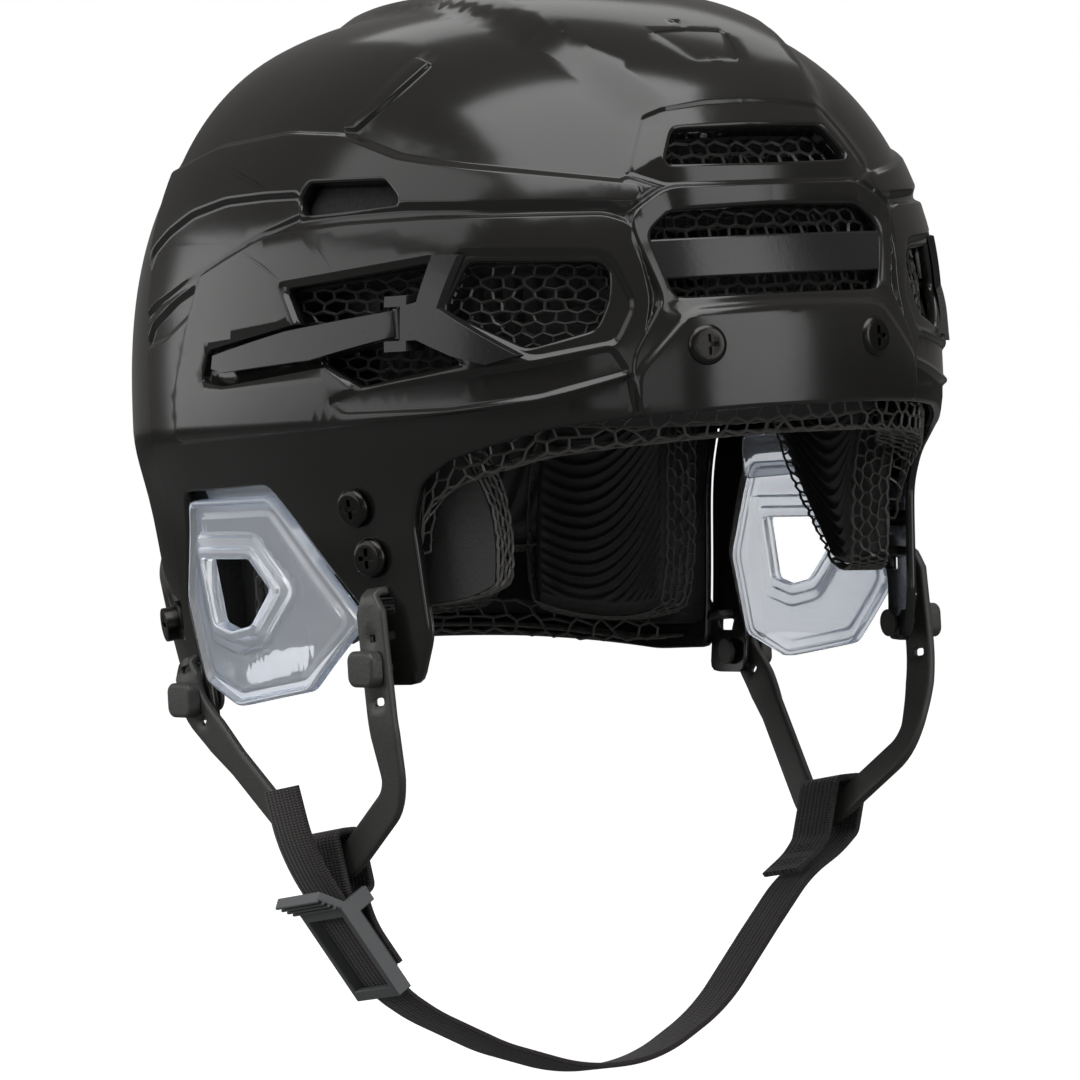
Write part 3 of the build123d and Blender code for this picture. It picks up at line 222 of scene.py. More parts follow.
def photo_pixels(points):
    """Where points show in the photograph's frame."""
    place, right, up, back = camera_axes()
    away = points - place
    deep = -(away @ back)
    across = PHOTO_SIZE / 2.0 + PHOTO_FOCUS * (away @ right) / deep
    down = PHOTO_SIZE / 2.0 - PHOTO_FOCUS * (away @ up) / deep
    return np.column_stack((across, down))


def photo_skin(pixels, depth):
    """Points of the skin that show at places of the photograph."""
    place, right, up, back = camera_axes()
    across, down = pixels[:, :1] - PHOTO_SIZE / 2.0, pixels[:, 1:] - PHOTO_SIZE / 2.0
    ways = unit(across * right - down * up - PHOTO_FOCUS * back)
    origins = np.repeat(place[None], len(pixels), axis=0)
    return cast(origins, ways, PHOTO_DISTANCE - 260.0, PHOTO_DISTANCE + 150.0, depth, 200)


def axis_skin(flat, depth, columns, way):
    """Points of the skin met by lines along one axis, from far outside, through places of the other two."""
    origins = np.zeros((len(flat), 3))
    origins[:, columns] = flat
    ways = np.repeat(np.array(way, float)[None], len(flat), axis=0)
    start = origins - ways * 260.0
    found = cast(start, ways, 0.0, 260.0, depth, 130)
    missed = np.abs(measure(found, depth) - 1.0) > 1e-3
    found[missed] = origins[missed]
    return found


LIFTS = {
    "photo": photo_skin,
    "side": lambda flat, depth: axis_skin(flat, depth, (1, 2), (1, 0, 0)),
    "front": lambda flat, depth: axis_skin(flat, depth, (0, 2), (0, 1, 0)),
    "rear": lambda flat, depth: axis_skin(flat, depth, (0, 2), (0, -1, 0)),
    "top": lambda flat, depth: axis_skin(flat, depth, (0, 1), (0, 0, -1)),
}
FLATS = {
    "photo": photo_pixels,
    "side": lambda points: points[:, 1:],
    "front": lambda points: points[:, ::2],
    "rear": lambda points: points[:, ::2],
    "top": lambda points: points[:, :2],
}
SIDES = {
    "photo": lambda points: outward(points, 0.0) @ camera_axes()[3] > 0.0,
    "side": lambda points: points[:, 0] < 1e-6,
    "front": lambda points: points[:, 1] < CENTRE_Y,
    "rear": lambda points: points[:, 1] > CENTRE_Y,
    "top": lambda points: points[:, 2] > BELT_Z,
}


def even_odd(points, polygon):
    """Whether points lie inside a polygon: an odd number of its sides lies to their right."""
    inside = np.zeros(len(points), bool)
    x, y = points[:, 0], points[:, 1]
    for (ax, ay), (bx, by) in zip(polygon, np.roll(polygon, -1, axis=0)):
        if ay != by:
            cut = ((ay > y) != (by > y)) & (x < (bx - ax) * (y - ay) / (by - ay) + ax)
            inside ^= cut
    return inside


def line_distance(points, line):
    """Distance of points from a closed line of straight pieces."""
    best = np.full(len(points), 1e9)
    low, high = line.min(0) - 30.0, line.max(0) + 30.0
    near = np.flatnonzero(((points > low) & (points < high)).all(axis=1))
    ends = np.roll(line, -1, axis=0)
    spans = ends - line
    lengths = np.maximum((spans**2).sum(1), 1e-12)
    for part in np.array_split(near, max(1, len(near) * len(line) // 1500000)):
        away = points[part][:, None] - line[None]
        share = np.clip((away * spans[None]).sum(2) / lengths, 0.0, 1.0)
        gaps = away - share[..., None] * spans[None]
        best[part] = np.sqrt((gaps**2).sum(2).min(1))
    return best


class Outline:
    """A closed line on the skin, given by flat places of one kind of view, with rounded corners."""

    def __init__(self, kind, places, corner=1.5, pitch=LINE_PITCH):
        self.kind = kind
        flat = np.array(places, float)
        solid = LIFTS[kind](flat, 0.0)
        rounded = []
        for i in range(len(flat)):
            here, before, after = flat[i], flat[i - 1], flat[(i + 1) % len(flat)]
            back = min(corner / max(np.linalg.norm(solid[i] - solid[i - 1]), 1e-6), 0.45)
            onward = min(corner / max(np.linalg.norm(solid[i] - solid[(i + 1) % len(flat)]), 1e-6), 0.45)
            start, end = here + (before - here) * back, here + (after - here) * onward
            for t in np.linspace(0.0, 1.0, 4):
                rounded.append((1 - t) ** 2 * start + 2 * t * (1 - t) * here + t**2 * end)
        rounded = np.array(rounded)
        solid = LIFTS[kind](rounded, 0.0)
        dense = []
        for i in range(len(rounded)):
            j = (i + 1) % len(rounded)
            count = max(1, math.ceil(np.linalg.norm(solid[i] - solid[j]) / pitch))
            shares = np.arange(count)[:, None] / count
            dense.append(rounded[i] + (rounded[j] - rounded[i]) * shares)
        dense = np.concatenate(dense)
        self.line = LIFTS[kind](dense, 0.0)
        self.flat = dense

    def holds(self, points):
        """Whether points near the skin lie inside the line."""
        return even_odd(FLATS[self.kind](points), self.flat) & SIDES[self.kind](points)

    def signed(self, points):
        """Distance from the line, above zero inside it."""
        gap = line_distance(points, self.line)
        return np.where(self.holds(points), gap, -gap)

    def inward(self):
        """Unit ways along the skin from the line's points to its inside."""
        along = np.roll(self.line, -1, axis=0) - np.roll(self.line, 1, axis=0)
        along /= np.maximum(np.linalg.norm(along, axis=1), 1e-9)[:, None]
        ways = np.cross(outward(self.line, 0.0), along)
        inside = self.holds(self.line + 0.4 * ways)
        return ways if inside.mean() > 0.5 else -ways

    def ring(self, inset):
        """The line moved inwards along the skin."""
        return self.line + inset * self.inward() if inset else self.line


class Relief:
    """A raised or sunk area: its height grows from out before its outline to into behind it."""

    def __init__(self, kind, places, rise, out=0.8, into=0.8, corner=1.5, merges=False):
        self.outline = Outline(kind, places, corner)
        self.rise, self.out, self.into = rise, out, into
        self.merges = merges

    def height(self, points):
        """Rise times the smooth step of the signed distance over the slope's width."""
        slope = self.out + self.into
        share = np.clip((self.outline.signed(points) + self.out) / slope, 0.0, 1.0)
        if slope < CRISP_SLOPE:
            share = share * share * (3.0 - 2.0 * share)
        return self.rise * share

    def rings(self):
        """Lines that the surface's points follow, so that the slope's ends are crisp."""
        out, into = self.out, self.into
        insets = [-out, into]
        if out + into < CRISP_SLOPE:
            insets += [(into - out) / 2.0, (into - 3 * out) / 4.0, (3 * into - out) / 4.0]
        return [self.outline.ring(inset) for inset in insets if abs(inset) < FARTHEST_RING]


def relief_height(reliefs, points):
    """Sum of the reliefs' heights; of those that merge with each other, only the highest counts."""
    height, highest = np.zeros(len(points)), np.zeros(len(points))
    for relief in reliefs:
        if relief.merges:
            highest = np.maximum(highest, relief.height(points))
        else:
            height += relief.height(points)
    return height + highest


def relief_normals(reliefs, points, normals, step=0.12):
    """Normals with reliefs: the skin's own, less the height's slope along two ways on the skin."""
    first = unit(np.cross(normals, np.eye(3)[np.abs(normals).argmin(axis=1)]))
    found = normals.copy()
    for way in (first, np.cross(normals, first)):
        ahead = relief_height(reliefs, points + step * way)
        behind = relief_height(reliefs, points - step * way)
        found -= way * ((ahead - behind) / (2.0 * step))[:, None]
    return unit(found)


def fill_places(low_z, pitch):
    """Places of the round map spread evenly over the right half of the skin, in rings round the crown."""
    rim_reach, mean_reach, mean_girth = 110.0, 122.0, 118.0
    found = [np.zeros((1, 2))]
    lowest = math.pi - math.atan2(rim_reach, BELT_Z - low_z) if low_z < BELT_Z else math.pi / 2.0
    rings = int(lowest * mean_reach / pitch)
    for ring in range(1, rings + 1):
        angle = lowest * ring / rings
        span = mean_girth * math.sin(min(angle, math.pi / 2.0)) * math.pi
        count = max(3, round(span / pitch))
        turns = math.pi * (np.arange(count + 1) + (0.5 if ring % 2 else 0.0)) / count
        turns = np.concatenate((turns[turns < math.pi - 0.3 / count], [0.0, math.pi]))
        found.append(np.column_stack((-np.sin(turns), np.cos(turns))) * angle * MAP_SCALE)
    return np.unique(np.round(np.concatenate(found), 5), axis=0)


def mesh_object(name, points, faces, material, smooth=35.0):
    """Object whose mesh has these points, in millimetres, and faces."""
    mesh = bpy.data.meshes.new(name)
    mesh.from_pydata((np.asarray(points) * MM).tolist(), [], [list(map(int, f)) for f in faces])
    mesh.update()
    piece = bpy.data.objects.new(name, mesh)
    bpy.context.scene.collection.objects.link(piece)
    mesh.materials.append(material)
    mesh.shade_smooth()
    mesh.set_sharp_from_angle(angle=math.radians(smooth))
    return piece


def edge_drop(gap, radius):
    """How far a rounded edge falls at a distance from it: a quarter circle."""
    short = np.clip(radius - gap, 0.0, radius)
    return radius - np.sqrt(np.maximum(radius**2 - short**2, 0.0))


def loop_edges(lines, total):
    """Edges round closed lines whose points are numbered on from a total."""
    edges = []
    for line in lines:
        count = len(line)
        edges += [(total + i, total + (i + 1) % count) for i in range(count)]
        total += count
    return edges


def triangulate(places, edges, tolerance):
    """Constrained Delaunay triangulation of flat places: the places that it has, and its triangles."""
    found = delaunay_2d_cdt([Vector(p) for p in np.concatenate(places)], edges, [], 0, tolerance)
    return np.array([v[:] for v in found[0]]), np.array(found[2])


def kept_triangles(spots, triangles, kept):
    """Numbers of the spots that the kept triangles use, and those triangles, turned the same way round."""
    first, second = (spots[triangles[:, corner]] - spots[triangles[:, 0]] for corner in (1, 2))
    area = first[:, 0] * second[:, 1] - first[:, 1] * second[:, 0]
    triangles = np.where((area < 0)[:, None], triangles[:, ::-1], triangles)
    used, triangles = np.unique(triangles[kept & (np.abs(area) > LEAST_AREA)], return_inverse=True)
    return used, triangles.reshape(-1, 3)


def skin_surface(region, holes, reliefs, depth, edge, whole, pitch=FILL_PITCH):
    """Points, normals, heights, triangles, which points lie on the middle plane, and shading normals of a
    skin inside a region, with holes and reliefs.

    The region's lines and the reliefs' slope lines are joined with an even fill by a constrained Delaunay
    triangulation of the round map; each point's height is the sum of the reliefs, less the rounded edge."""
    borders = [region, *holes]
    signs = [1.0] + [-1.0] * len(holes)
    rings = [border.ring(inset * sign) for border, sign in zip(borders, signs)
             for inset in (0.0, 0.12 * edge, 0.4 * edge, edge)]
    rings += [ring for relief in reliefs for ring in relief.rings()]
    marks = np.concatenate(rings)
    tree = kdtree.KDTree(len(marks))
    for index, mark in enumerate(marks):
        tree.insert(mark, index)
    tree.balance()
    fill = fill_places(region.line[:, 2].min(), pitch)
    fill_points = from_map(fill, 0.0)
    keep = region.signed(fill_points) > -2.0 * pitch
    clear = np.array([k and tree.find(p)[2] > 0.45 * pitch for p, k in zip(fill_points, keep)])
    places = [fill[clear]] + [to_map(ring) for ring in rings]
    edges = loop_edges(rings, len(places[0]))
    if whole:
        total, count, reach = sum(map(len, places)), 400, 230.0
        places.append(np.column_stack((np.zeros(count), np.linspace(-reach, reach, count))))
        edges += [(total + i, total + i + 1) for i in range(count - 1)]
    spots, triangles = triangulate(places, edges, 1e-4)
    spots[np.abs(spots[:, 0]) < 2e-3, 0] = 0.0
    base = from_map(spots, 0.0)
    middles = base[triangles].mean(axis=1)
    kept = region.holds(middles) & (spots[triangles][:, :, 0].mean(axis=1) < 0.0)
    for hole in holes:
        kept &= ~hole.holds(middles)
    used, triangles = kept_triangles(spots, triangles, kept)
    spots, base = spots[used], base[used]
    gap = np.min([line_distance(base, border.line) for border in borders], axis=0)
    on_axis = (spots[:, 0] == 0.0) & whole
    points = from_map(spots, depth)
    normals = outward(points, depth)
    normals[on_axis, 0] = 0.0
    points[on_axis, 0] = 0.0
    shading = relief_normals(reliefs, base, normals) if reliefs else normals.copy()
    shading[on_axis, 0] = 0.0
    shading[gap < 0.98 * edge] = 0.0
    height = relief_height(reliefs, base) - edge_drop(gap, edge)
    return points, normals, height, triangles, on_axis, shading


def mirrored(points, triangles, on_axis):
    """A right half and its mirror image, joined along the middle."""
    count = len(points)
    other = np.where(on_axis, np.arange(count), count + np.cumsum(~on_axis) - 1)
    flipped = points[~on_axis] * np.array((-1.0, 1.0, 1.0))
    return np.concatenate((points, flipped)), np.concatenate((triangles, other[triangles][:, ::-1]))


def shell_faces(outer, inner, triangles):
    """Outer skin, inner skin turned round, and the wall between them along every open edge."""
    count = len(outer)
    pairs = np.concatenate((triangles[:, (0, 1)], triangles[:, (1, 2)], triangles[:, (2, 0)]))
    keys, back = pairs[:, 0] * count + pairs[:, 1], pairs[:, 1] * count + pairs[:, 0]
    rim = pairs[~np.isin(keys, back)]
    walls = np.column_stack((rim[:, 1], rim[:, 0], rim[:, 0] + count, rim[:, 1] + count))
    faces = triangles.tolist() + (triangles[:, ::-1] + count).tolist() + walls.tolist()
    return np.concatenate((outer, inner)), faces


def skin_piece(name, region, holes, reliefs, depth, thickness, material, edge=1.2, whole=True,
               pitch=FILL_PITCH):
    """Moulded wall that follows the skin: outer face with reliefs, inner face at the wall's thickness."""
    surface = skin_surface(region, holes, reliefs, depth, edge, whole, pitch)
    points, normals, height, triangles, on_axis, shading = surface
    outer = points + normals * height[:, None]
    inner = points - normals * np.maximum(thickness, LEAST_WALL - height)[:, None]
    faces = triangles
    if whole:
        outer, faces = mirrored(outer, triangles, on_axis)
        inner, _ = mirrored(inner, triangles, on_axis)
    both, faces = shell_faces(outer, inner, faces)
    piece = mesh_object(name, both, faces, material)
    if whole and reliefs:
        shading, _ = mirrored(shading, triangles, on_axis)
        shade(piece, np.concatenate((shading, np.zeros((len(both) - len(shading), 3)))))
    return piece


def shade(piece, normals):
    """The mesh is shaded with these normals at its points; a zero one leaves the mesh's own."""
    piece.data.normals_split_custom_set_from_vertices(normals.tolist())


def mirror_piece(piece, name):
    """The left-hand copy of a right-hand piece, its faces turned to point outwards again."""
    copy = piece.copy()
    copy.data = piece.data.copy()
    copy.name = copy.data.name = name
    copy.data.transform(Matrix.Diagonal((-1.0, 1.0, 1.0, 1.0)))
    copy.data.flip_normals()
    bpy.context.scene.collection.objects.link(copy)
    return copy


# ---- materials ----

FLOAT, COLOUR = "NodeSocketFloat", "NodeSocketColor"


def open_group(name, inputs, outputs):
    """New shader node group with its sockets, and its input and output nodes."""
    group = bpy.data.node_groups.new(name, "ShaderNodeTree")
    for label, kind, value in inputs:
        socket = group.interface.new_socket(label, in_out="INPUT", socket_type=kind)
        socket.default_value = value
    for label, kind in outputs:
        group.interface.new_socket(label, in_out="OUTPUT", socket_type=kind)
    return group, group.nodes.new("NodeGroupInput"), group.nodes.new("NodeGroupOutput")


def add_node(tree, kind, links=(), **settings):
    """Node with settings on it and its sockets fed by values or by other nodes' sockets."""
    node = tree.nodes.new(kind)
    for key, value in settings.items():
        setattr(node, key, value)
    for socket, source in links:
        if hasattr(source, "links"):
            tree.links.new(source, node.inputs[socket])
        else:
            node.inputs[socket].default_value = source
    return node


def maths(tree, operation, *values):
    """Result of a Math node on values or other nodes' sockets."""
    return add_node(tree, "ShaderNodeMath", enumerate(values), operation=operation).outputs[0]


def noise(tree, place, scale, detail):
    """Noise at a place, from 0 to 1."""
    node = add_node(tree, "ShaderNodeTexNoise", [("Vector", place), ("Scale", scale), ("Detail", detail)])
    return node.outputs["Fac"]


def spread(tree, value, low, high, to_low=0.0, to_high=1.0):
    """A value between low and high, spread evenly between two others."""
    links = [("Value", value), ("From Min", low), ("From Max", high), ("To Min", to_low), ("To Max", to_high)]
    return add_node(tree, "ShaderNodeMapRange", links).outputs["Result"]


def mixed_colour(tree, factor, first, second):
    """Colour between two, by a factor."""
    links = [("Factor", factor), (6, first), (7, second)]
    return add_node(tree, "ShaderNodeMix", links, data_type="RGBA").outputs[2]


def grain_group():
    """Fine moulded grain: noise of a given scale on Object coordinates, as a bump height."""
    group, given, out = open_group(
        "Moulded Grain",
        [("Scale", FLOAT, 900.0), ("Detail", FLOAT, 3.0), ("Strength", FLOAT, 1.0)],
        [("Height", FLOAT)],
    )
    place = add_node(group, "ShaderNodeTexCoord").outputs["Object"]
    pores = noise(group, place, given.outputs["Scale"], given.outputs["Detail"])
    group.links.new(maths(group, "MULTIPLY", pores, given.outputs["Strength"]), out.inputs["Height"])
    return group


def drift_group():
    """Slow change of polish and tone over a surface, with thin handling marks on top."""
    group, given, out = open_group(
        "Handled Finish",
        [("Dark", COLOUR, (0.01, 0.01, 0.01, 1)), ("Light", COLOUR, (0.02, 0.02, 0.02, 1)),
         ("Smooth", FLOAT, 0.15), ("Rough", FLOAT, 0.25), ("Scale", FLOAT, 14.0)],
        [("Color", COLOUR), ("Roughness", FLOAT)],
    )
    place = add_node(group, "ShaderNodeTexCoord").outputs["Object"]
    slow = noise(group, place, given.outputs["Scale"], 4.0)
    colour = mixed_colour(group, slow, given.outputs["Dark"], given.outputs["Light"])
    stretched = add_node(group, "ShaderNodeMapping", [
        ("Vector", place), ("Rotation", (0.3, 0.7, 0.4)), ("Scale", (900.0, 40.0, 900.0))])
    marks = spread(group, noise(group, stretched.outputs["Vector"], 1.0, 1.0), 0.68, 0.78, 0.0, 0.35)
    smooth, rough = given.outputs["Smooth"], given.outputs["Rough"]
    polish = spread(group, maths(group, "ADD", slow, marks), 0.3, 0.75, smooth, rough)
    group.links.new(colour, out.inputs["Color"])
    group.links.new(polish, out.inputs["Roughness"])
    return group


def weave_group():
    """Narrow webbing: picks across and ribs along the band, from its own UV map, as height and as painted
    shade.
    """
    ribs_across, picks_per_metre = 9.0, 1300.0
    group, _, out = open_group("Narrow Weave", [], [("Height", FLOAT), ("Shade", FLOAT)])
    place = add_node(group, "ShaderNodeTexCoord")
    split = add_node(group, "ShaderNodeSeparateXYZ", [("Vector", place.outputs["UV"])])
    ribs = maths(group, "MULTIPLY", split.outputs["X"], 2.0 * math.pi * ribs_across)
    lean = maths(group, "SINE", maths(group, "MULTIPLY", ribs, 0.5))
    picks = maths(group, "MULTIPLY", split.outputs["Y"], 2.0 * math.pi * picks_per_metre)
    pick_wave = maths(group, "SINE", maths(group, "ADD", picks, lean))
    height = spread(group, maths(group, "ADD", maths(group, "SINE", ribs), pick_wave), -2.0, 2.0)
    group.links.new(height, out.inputs["Height"])
    # The shade output is the height itself: painted shade in the weave's hollows and painted highlight on its
    # crowns.
    group.links.new(height, out.inputs["Shade"])
    return group


def made_once(builder):
    """The node group that a builder makes, made the first time only."""
    if builder.__name__ not in MADE:
        MADE[builder.__name__] = builder()
    return MADE[builder.__name__]


MADE = {}


def blank(name, **sockets):
    """Material with one Principled shader whose plain values are set on its own sockets."""
    material = bpy.data.materials.new(name)
    material.use_nodes = True
    shader = next(n for n in material.node_tree.nodes if n.type == "BSDF_PRINCIPLED")
    for label, value in sockets.items():
        shader.inputs[label.replace("_", " ")].default_value = value
    return material, material.node_tree, shader


def paint(colour, share=1.0):
    """Colour with full alpha, lightened or darkened by a share."""
    return tuple(c * share for c in colour[:3]) + (1.0,)


def placed(tree, builder, **values):
    """A shared group in a material, with the material's own values."""
    return add_node(tree, "ShaderNodeGroup", values.items(), node_tree=made_once(builder))


def bumped(tree, height, distance):
    """Normal of a surface that has a height."""
    links = [("Height", height), ("Strength", 1.0), ("Distance", distance)]
    return add_node(tree, "ShaderNodeBump", links).outputs["Normal"]


def feed(tree, shader, **sources):
    """Other nodes' sockets linked to a shader's."""
    for label, source in sources.items():
        tree.links.new(source, shader.inputs[label.replace("_", " ")])


def plastic(name, colour, smooth, rough, grain, depth, spread_share=1.5, **sockets):
    """Moulded plastic or rubber: drifting polish and tone, fine grain as bump."""
    material, tree, shader = blank(name, **sockets)
    drift = placed(
        tree, drift_group, Dark=paint(colour), Light=paint(colour, spread_share), Smooth=smooth, Rough=rough
    )
    pores = placed(tree, grain_group, Scale=grain)
    feed(tree, shader, Base_Color=drift.outputs["Color"], Roughness=drift.outputs["Roughness"],
         Normal=bumped(tree, pores.outputs["Height"], depth))
    return material


def clear_plastic(name, colour, edge):
    """Clear moulded plastic whose body shows a tint where it is seen edge on."""
    material, tree, shader = blank(name, Transmission_Weight=0.72, IOR=1.46, Metallic=0.0)
    facing = add_node(tree, "ShaderNodeLayerWeight", [("Blend", 0.25)])
    drift = placed(tree, drift_group, Smooth=0.02, Rough=0.07)
    feed(tree, shader, Base_Color=mixed_colour(tree, facing.outputs["Facing"], paint(colour), paint(edge)),
         Roughness=drift.outputs["Roughness"])
    return material


def woven(name, colour):
    """Woven webbing: ribs and picks as bump, with painted shade on the low threads and painted highlight on
    the high ones.
    """
    material, tree, shader = blank(name, Roughness=0.78, Sheen_Weight=0.25, Sheen_Roughness=0.4)
    weave = placed(tree, weave_group)
    # Painted shade and highlight: the colour is darker where the weave is low and lighter where it is high.
    tone = mixed_colour(tree, weave.outputs["Shade"], paint(colour, 0.45), paint(colour, 1.5))
    feed(tree, shader, Base_Color=tone, Normal=bumped(tree, weave.outputs["Height"], 0.0003))
    return material


FINISHES = {
    "shell": lambda c: plastic("Gloss black", c.shell, 0.13, 0.2, 160.0, 0.00002),
    "trim": lambda c: plastic("Trim plastic", c.trim, 0.2, 0.3, 700.0, 0.00003),
    "foam": lambda c: plastic("Liner foam", c.foam, 0.75, 0.95, 500.0, 0.0006),
    "pad": lambda c: plastic("Pad skin", c.pad, 0.42, 0.6, 900.0, 0.00012),
    "lattice": lambda c: plastic("Printed lattice", c.lattice, 0.3, 0.45, 1400.0, 0.00006),
    "window": lambda c: plastic("Window lattice", c.window, 0.3, 0.45, 1400.0, 0.00006),
    "clear": lambda c: clear_plastic("Clear guard", c.clear, c.clear_edge),
    "rubber": lambda c: plastic("Strap rubber", c.rubber, 0.38, 0.52, 1100.0, 0.00008),
    "webbing": lambda c: woven("Webbing", c.webbing),
    "thread": lambda c: plastic("Sewing thread", c.thread, 0.6, 0.8, 2500.0, 0.0001),
    "buckle": lambda c: plastic("Buckle plastic", c.buckle, 0.36, 0.5, 1200.0, 0.00008),
    "steel": lambda c: plastic("Blackened steel", c.steel, 0.2, 0.38, 1500.0, 0.00002, Metallic=1.0),
    "nut": lambda c: plastic("Plated steel", c.nut, 0.3, 0.5, 900.0, 0.00004, Metallic=1.0),
}


def finish(name):
    """A named finish in the colours of the panel, made the first time it is asked for."""
    key = "finish " + name
    if key not in MADE:
        MADE[key] = FINISHES[name](bpy.context.scene.helmet_colours)
    return MADE[key]


# ---- sweeps, nets and cushions ----


def arc_line(points, radii, pitch):
    """Line through points with each corner rounded to a true arc, as points a pitch apart."""
    points = [np.array(p, float) for p in points]
    runs = [points[0][None]]
    for before, here, after, radius in zip(points, points[1:], points[2:], radii):
        back, onward = before - here, after - here
        back, onward = back / np.linalg.norm(back), onward / np.linalg.norm(onward)
        half = math.acos(float(np.clip(back @ onward, -1.0, 1.0))) / 2.0
        if half > math.pi / 2.0 - 1e-3:
            continue
        start, end = here + back * radius / math.tan(half), here + onward * radius / math.tan(half)
        middle = (back + onward) / np.linalg.norm(back + onward) * radius / math.sin(half) + here
        turn = math.pi - 2.0 * half
        share = np.linspace(0.0, 1.0, max(4, int(turn * radius / pitch) + 2))[:, None]
        arm, other = start - middle, end - middle
        swing = np.sin((1 - share) * turn) * arm + np.sin(share * turn) * other
        runs.append(middle + swing / math.sin(turn))
    runs.append(points[-1][None])
    corners = np.concatenate(runs)
    lengths = lengths_along(corners)
    return read_at(np.linspace(0.0, lengths[-1], max(2, int(lengths[-1] / pitch) + 1)), lengths, corners)


def fitted_radii(points, radius):
    """Corner radii as large as the runs beside each corner allow, or its own limit."""
    radii = []
    for before, here, after in zip(points, points[1:], points[2:]):
        limit = here[2] if len(here) > 2 else radius
        back, onward = np.subtract(before[:2], here[:2]), np.subtract(after[:2], here[:2])
        reach = 0.49 * min(np.linalg.norm(back), np.linalg.norm(onward))
        cosine = back @ onward / np.linalg.norm(back) / np.linalg.norm(onward)
        radii.append(min(limit, radius, reach * math.tan(math.acos(float(np.clip(cosine, -1, 1))) / 2.0)))
    return radii


def ribbon(name, path, across, profile, material):
    """Closed band: a flat profile carried along a path, its two ways across and along the normal."""
    ahead = unit(np.gradient(path, axis=0))
    across = unit(across - (across * ahead).sum(1)[:, None] * ahead)
    normal = np.cross(ahead, across)
    points = path[:, None] + profile[None, :, :1] * across[:, None] + profile[None, :, 1:] * normal[:, None]
    count, size = len(path), len(profile)
    row, column = np.meshgrid(np.arange(count - 1), np.arange(size), indexing="ij")
    here, beside = row * size + column, row * size + (column + 1) % size
    quads = np.stack((here, beside, beside + size, here + size), axis=-1).reshape(-1, 4).tolist()
    last = (count - 1) * size
    faces = quads + [list(range(size))[::-1], list(range(last, last + size))]
    piece = mesh_object(name, points.reshape(-1, 3), faces, material)
    lengths = lengths_along(path) * MM
    girth = (profile[:, 0] - profile[:, 0].min()) / np.ptp(profile[:, 0])
    layer = piece.data.uv_layers.new(name="Band")
    corner = np.empty(len(piece.data.loops), int)
    piece.data.loops.foreach_get("vertex_index", corner)
    layer.data.foreach_set("uv", np.column_stack((girth[corner % size], lengths[corner // size])).ravel())
    return piece


def strap_profile(width, thickness, corner, steps=4):
    """Rounded flat section: half width and half thickness with quarter-circle corners."""
    turns = np.linspace(0.0, math.pi / 2.0, steps)
    points = []
    for quarter, (sign_u, sign_v) in enumerate(((1, 1), (-1, 1), (-1, -1), (1, -1))):
        angle = turns + quarter * math.pi / 2.0
        u, v = sign_u * (width / 2.0 - corner), sign_v * (thickness / 2.0 - corner)
        points.append(np.column_stack((u + corner * np.cos(angle), v + corner * np.sin(angle))))
    return np.concatenate(points)


def net_object(name, points, index, strut, material):
    """Net of six-sided cells with its edges turned to struts of a thickness."""
    piece = mesh_object(name, points, index.reshape(-1, 6), material)
    struts = piece.modifiers.new("Struts", "WIREFRAME")
    struts.thickness, struts.use_boundary, struts.use_even_offset = strut * MM, True, False
    return piece


def hex_net(name, kind, corners, cell, depth, strut, material, seed, grow, ragged=0.1):
    """Printed lattice: uneven six-sided cells on the skin at a depth, inside corners grown by a margin."""
    corners = grown(corners, grow)
    low, high = corners.min(0), corners.max(0)
    wide, tall = cell
    columns = np.arange(int((high[0] - low[0]) / wide) + 3)
    rows = np.arange(int((high[1] - low[1]) / (0.75 * tall)) + 3)
    column, row = (table.ravel() for table in np.meshgrid(columns, rows))
    across, up = low[0] + (column + 0.5 * (row % 2) - 0.5) * wide, low[1] + (row - 0.5) * 0.75 * tall
    middles = np.column_stack((across, up))
    middles = middles[even_odd(middles, corners)]
    spots = (middles[:, None] + (HEXAGON * cell)[None]).reshape(-1, 2)
    keys = np.round(spots / min(cell) * 8.0).astype(int)
    index = np.unique(keys, axis=0, return_inverse=True)[1].reshape(-1)
    merged = np.zeros((index.max() + 1, 2))
    np.add.at(merged, index, spots)
    merged /= np.bincount(index)[:, None]
    rng = np.random.default_rng(seed)
    merged += rng.uniform(-ragged, ragged, merged.shape) * cell
    points = LIFTS[kind](merged, depth)
    points += outward(points, depth) * rng.uniform(-0.4, 0.4, len(points))[:, None]
    return net_object(name, points, index, strut, material)


def join(name, pieces):
    """Several meshes as one piece, their modifiers applied."""
    graph = bpy.context.evaluated_depsgraph_get()
    points, faces, slots, materials, total, shading = [], [], [], [], 0, []
    shaded = any(piece.data.has_custom_normals for piece in pieces)
    for piece in pieces:
        mesh = bpy.data.meshes.new_from_object(piece.evaluated_get(graph))
        co = np.empty(len(mesh.vertices) * 3)
        mesh.vertices.foreach_get("co", co)
        points.append(co.reshape(-1, 3) / MM)
        material = piece.data.materials[0]
        if material not in materials:
            materials.append(material)
        for polygon in mesh.polygons:
            faces.append([v + total for v in polygon.vertices])
            slots.append(materials.index(material))
        total += len(mesh.vertices)
        normals = np.empty(len(mesh.corner_normals) * 3)
        mesh.corner_normals.foreach_get("vector", normals)
        shading.append(normals.reshape(-1, 3))
        bpy.data.meshes.remove(mesh)
    whole = mesh_object(name, np.concatenate(points), faces, materials[0])
    for material in materials[1:]:
        whole.data.materials.append(material)
    whole.data.polygons.foreach_set("material_index", slots)
    if shaded:
        whole.data.normals_split_custom_set(np.concatenate(shading).tolist())
    for piece in pieces:
        old = piece.data
        bpy.data.objects.remove(piece)
        bpy.data.meshes.remove(old)
    return whole


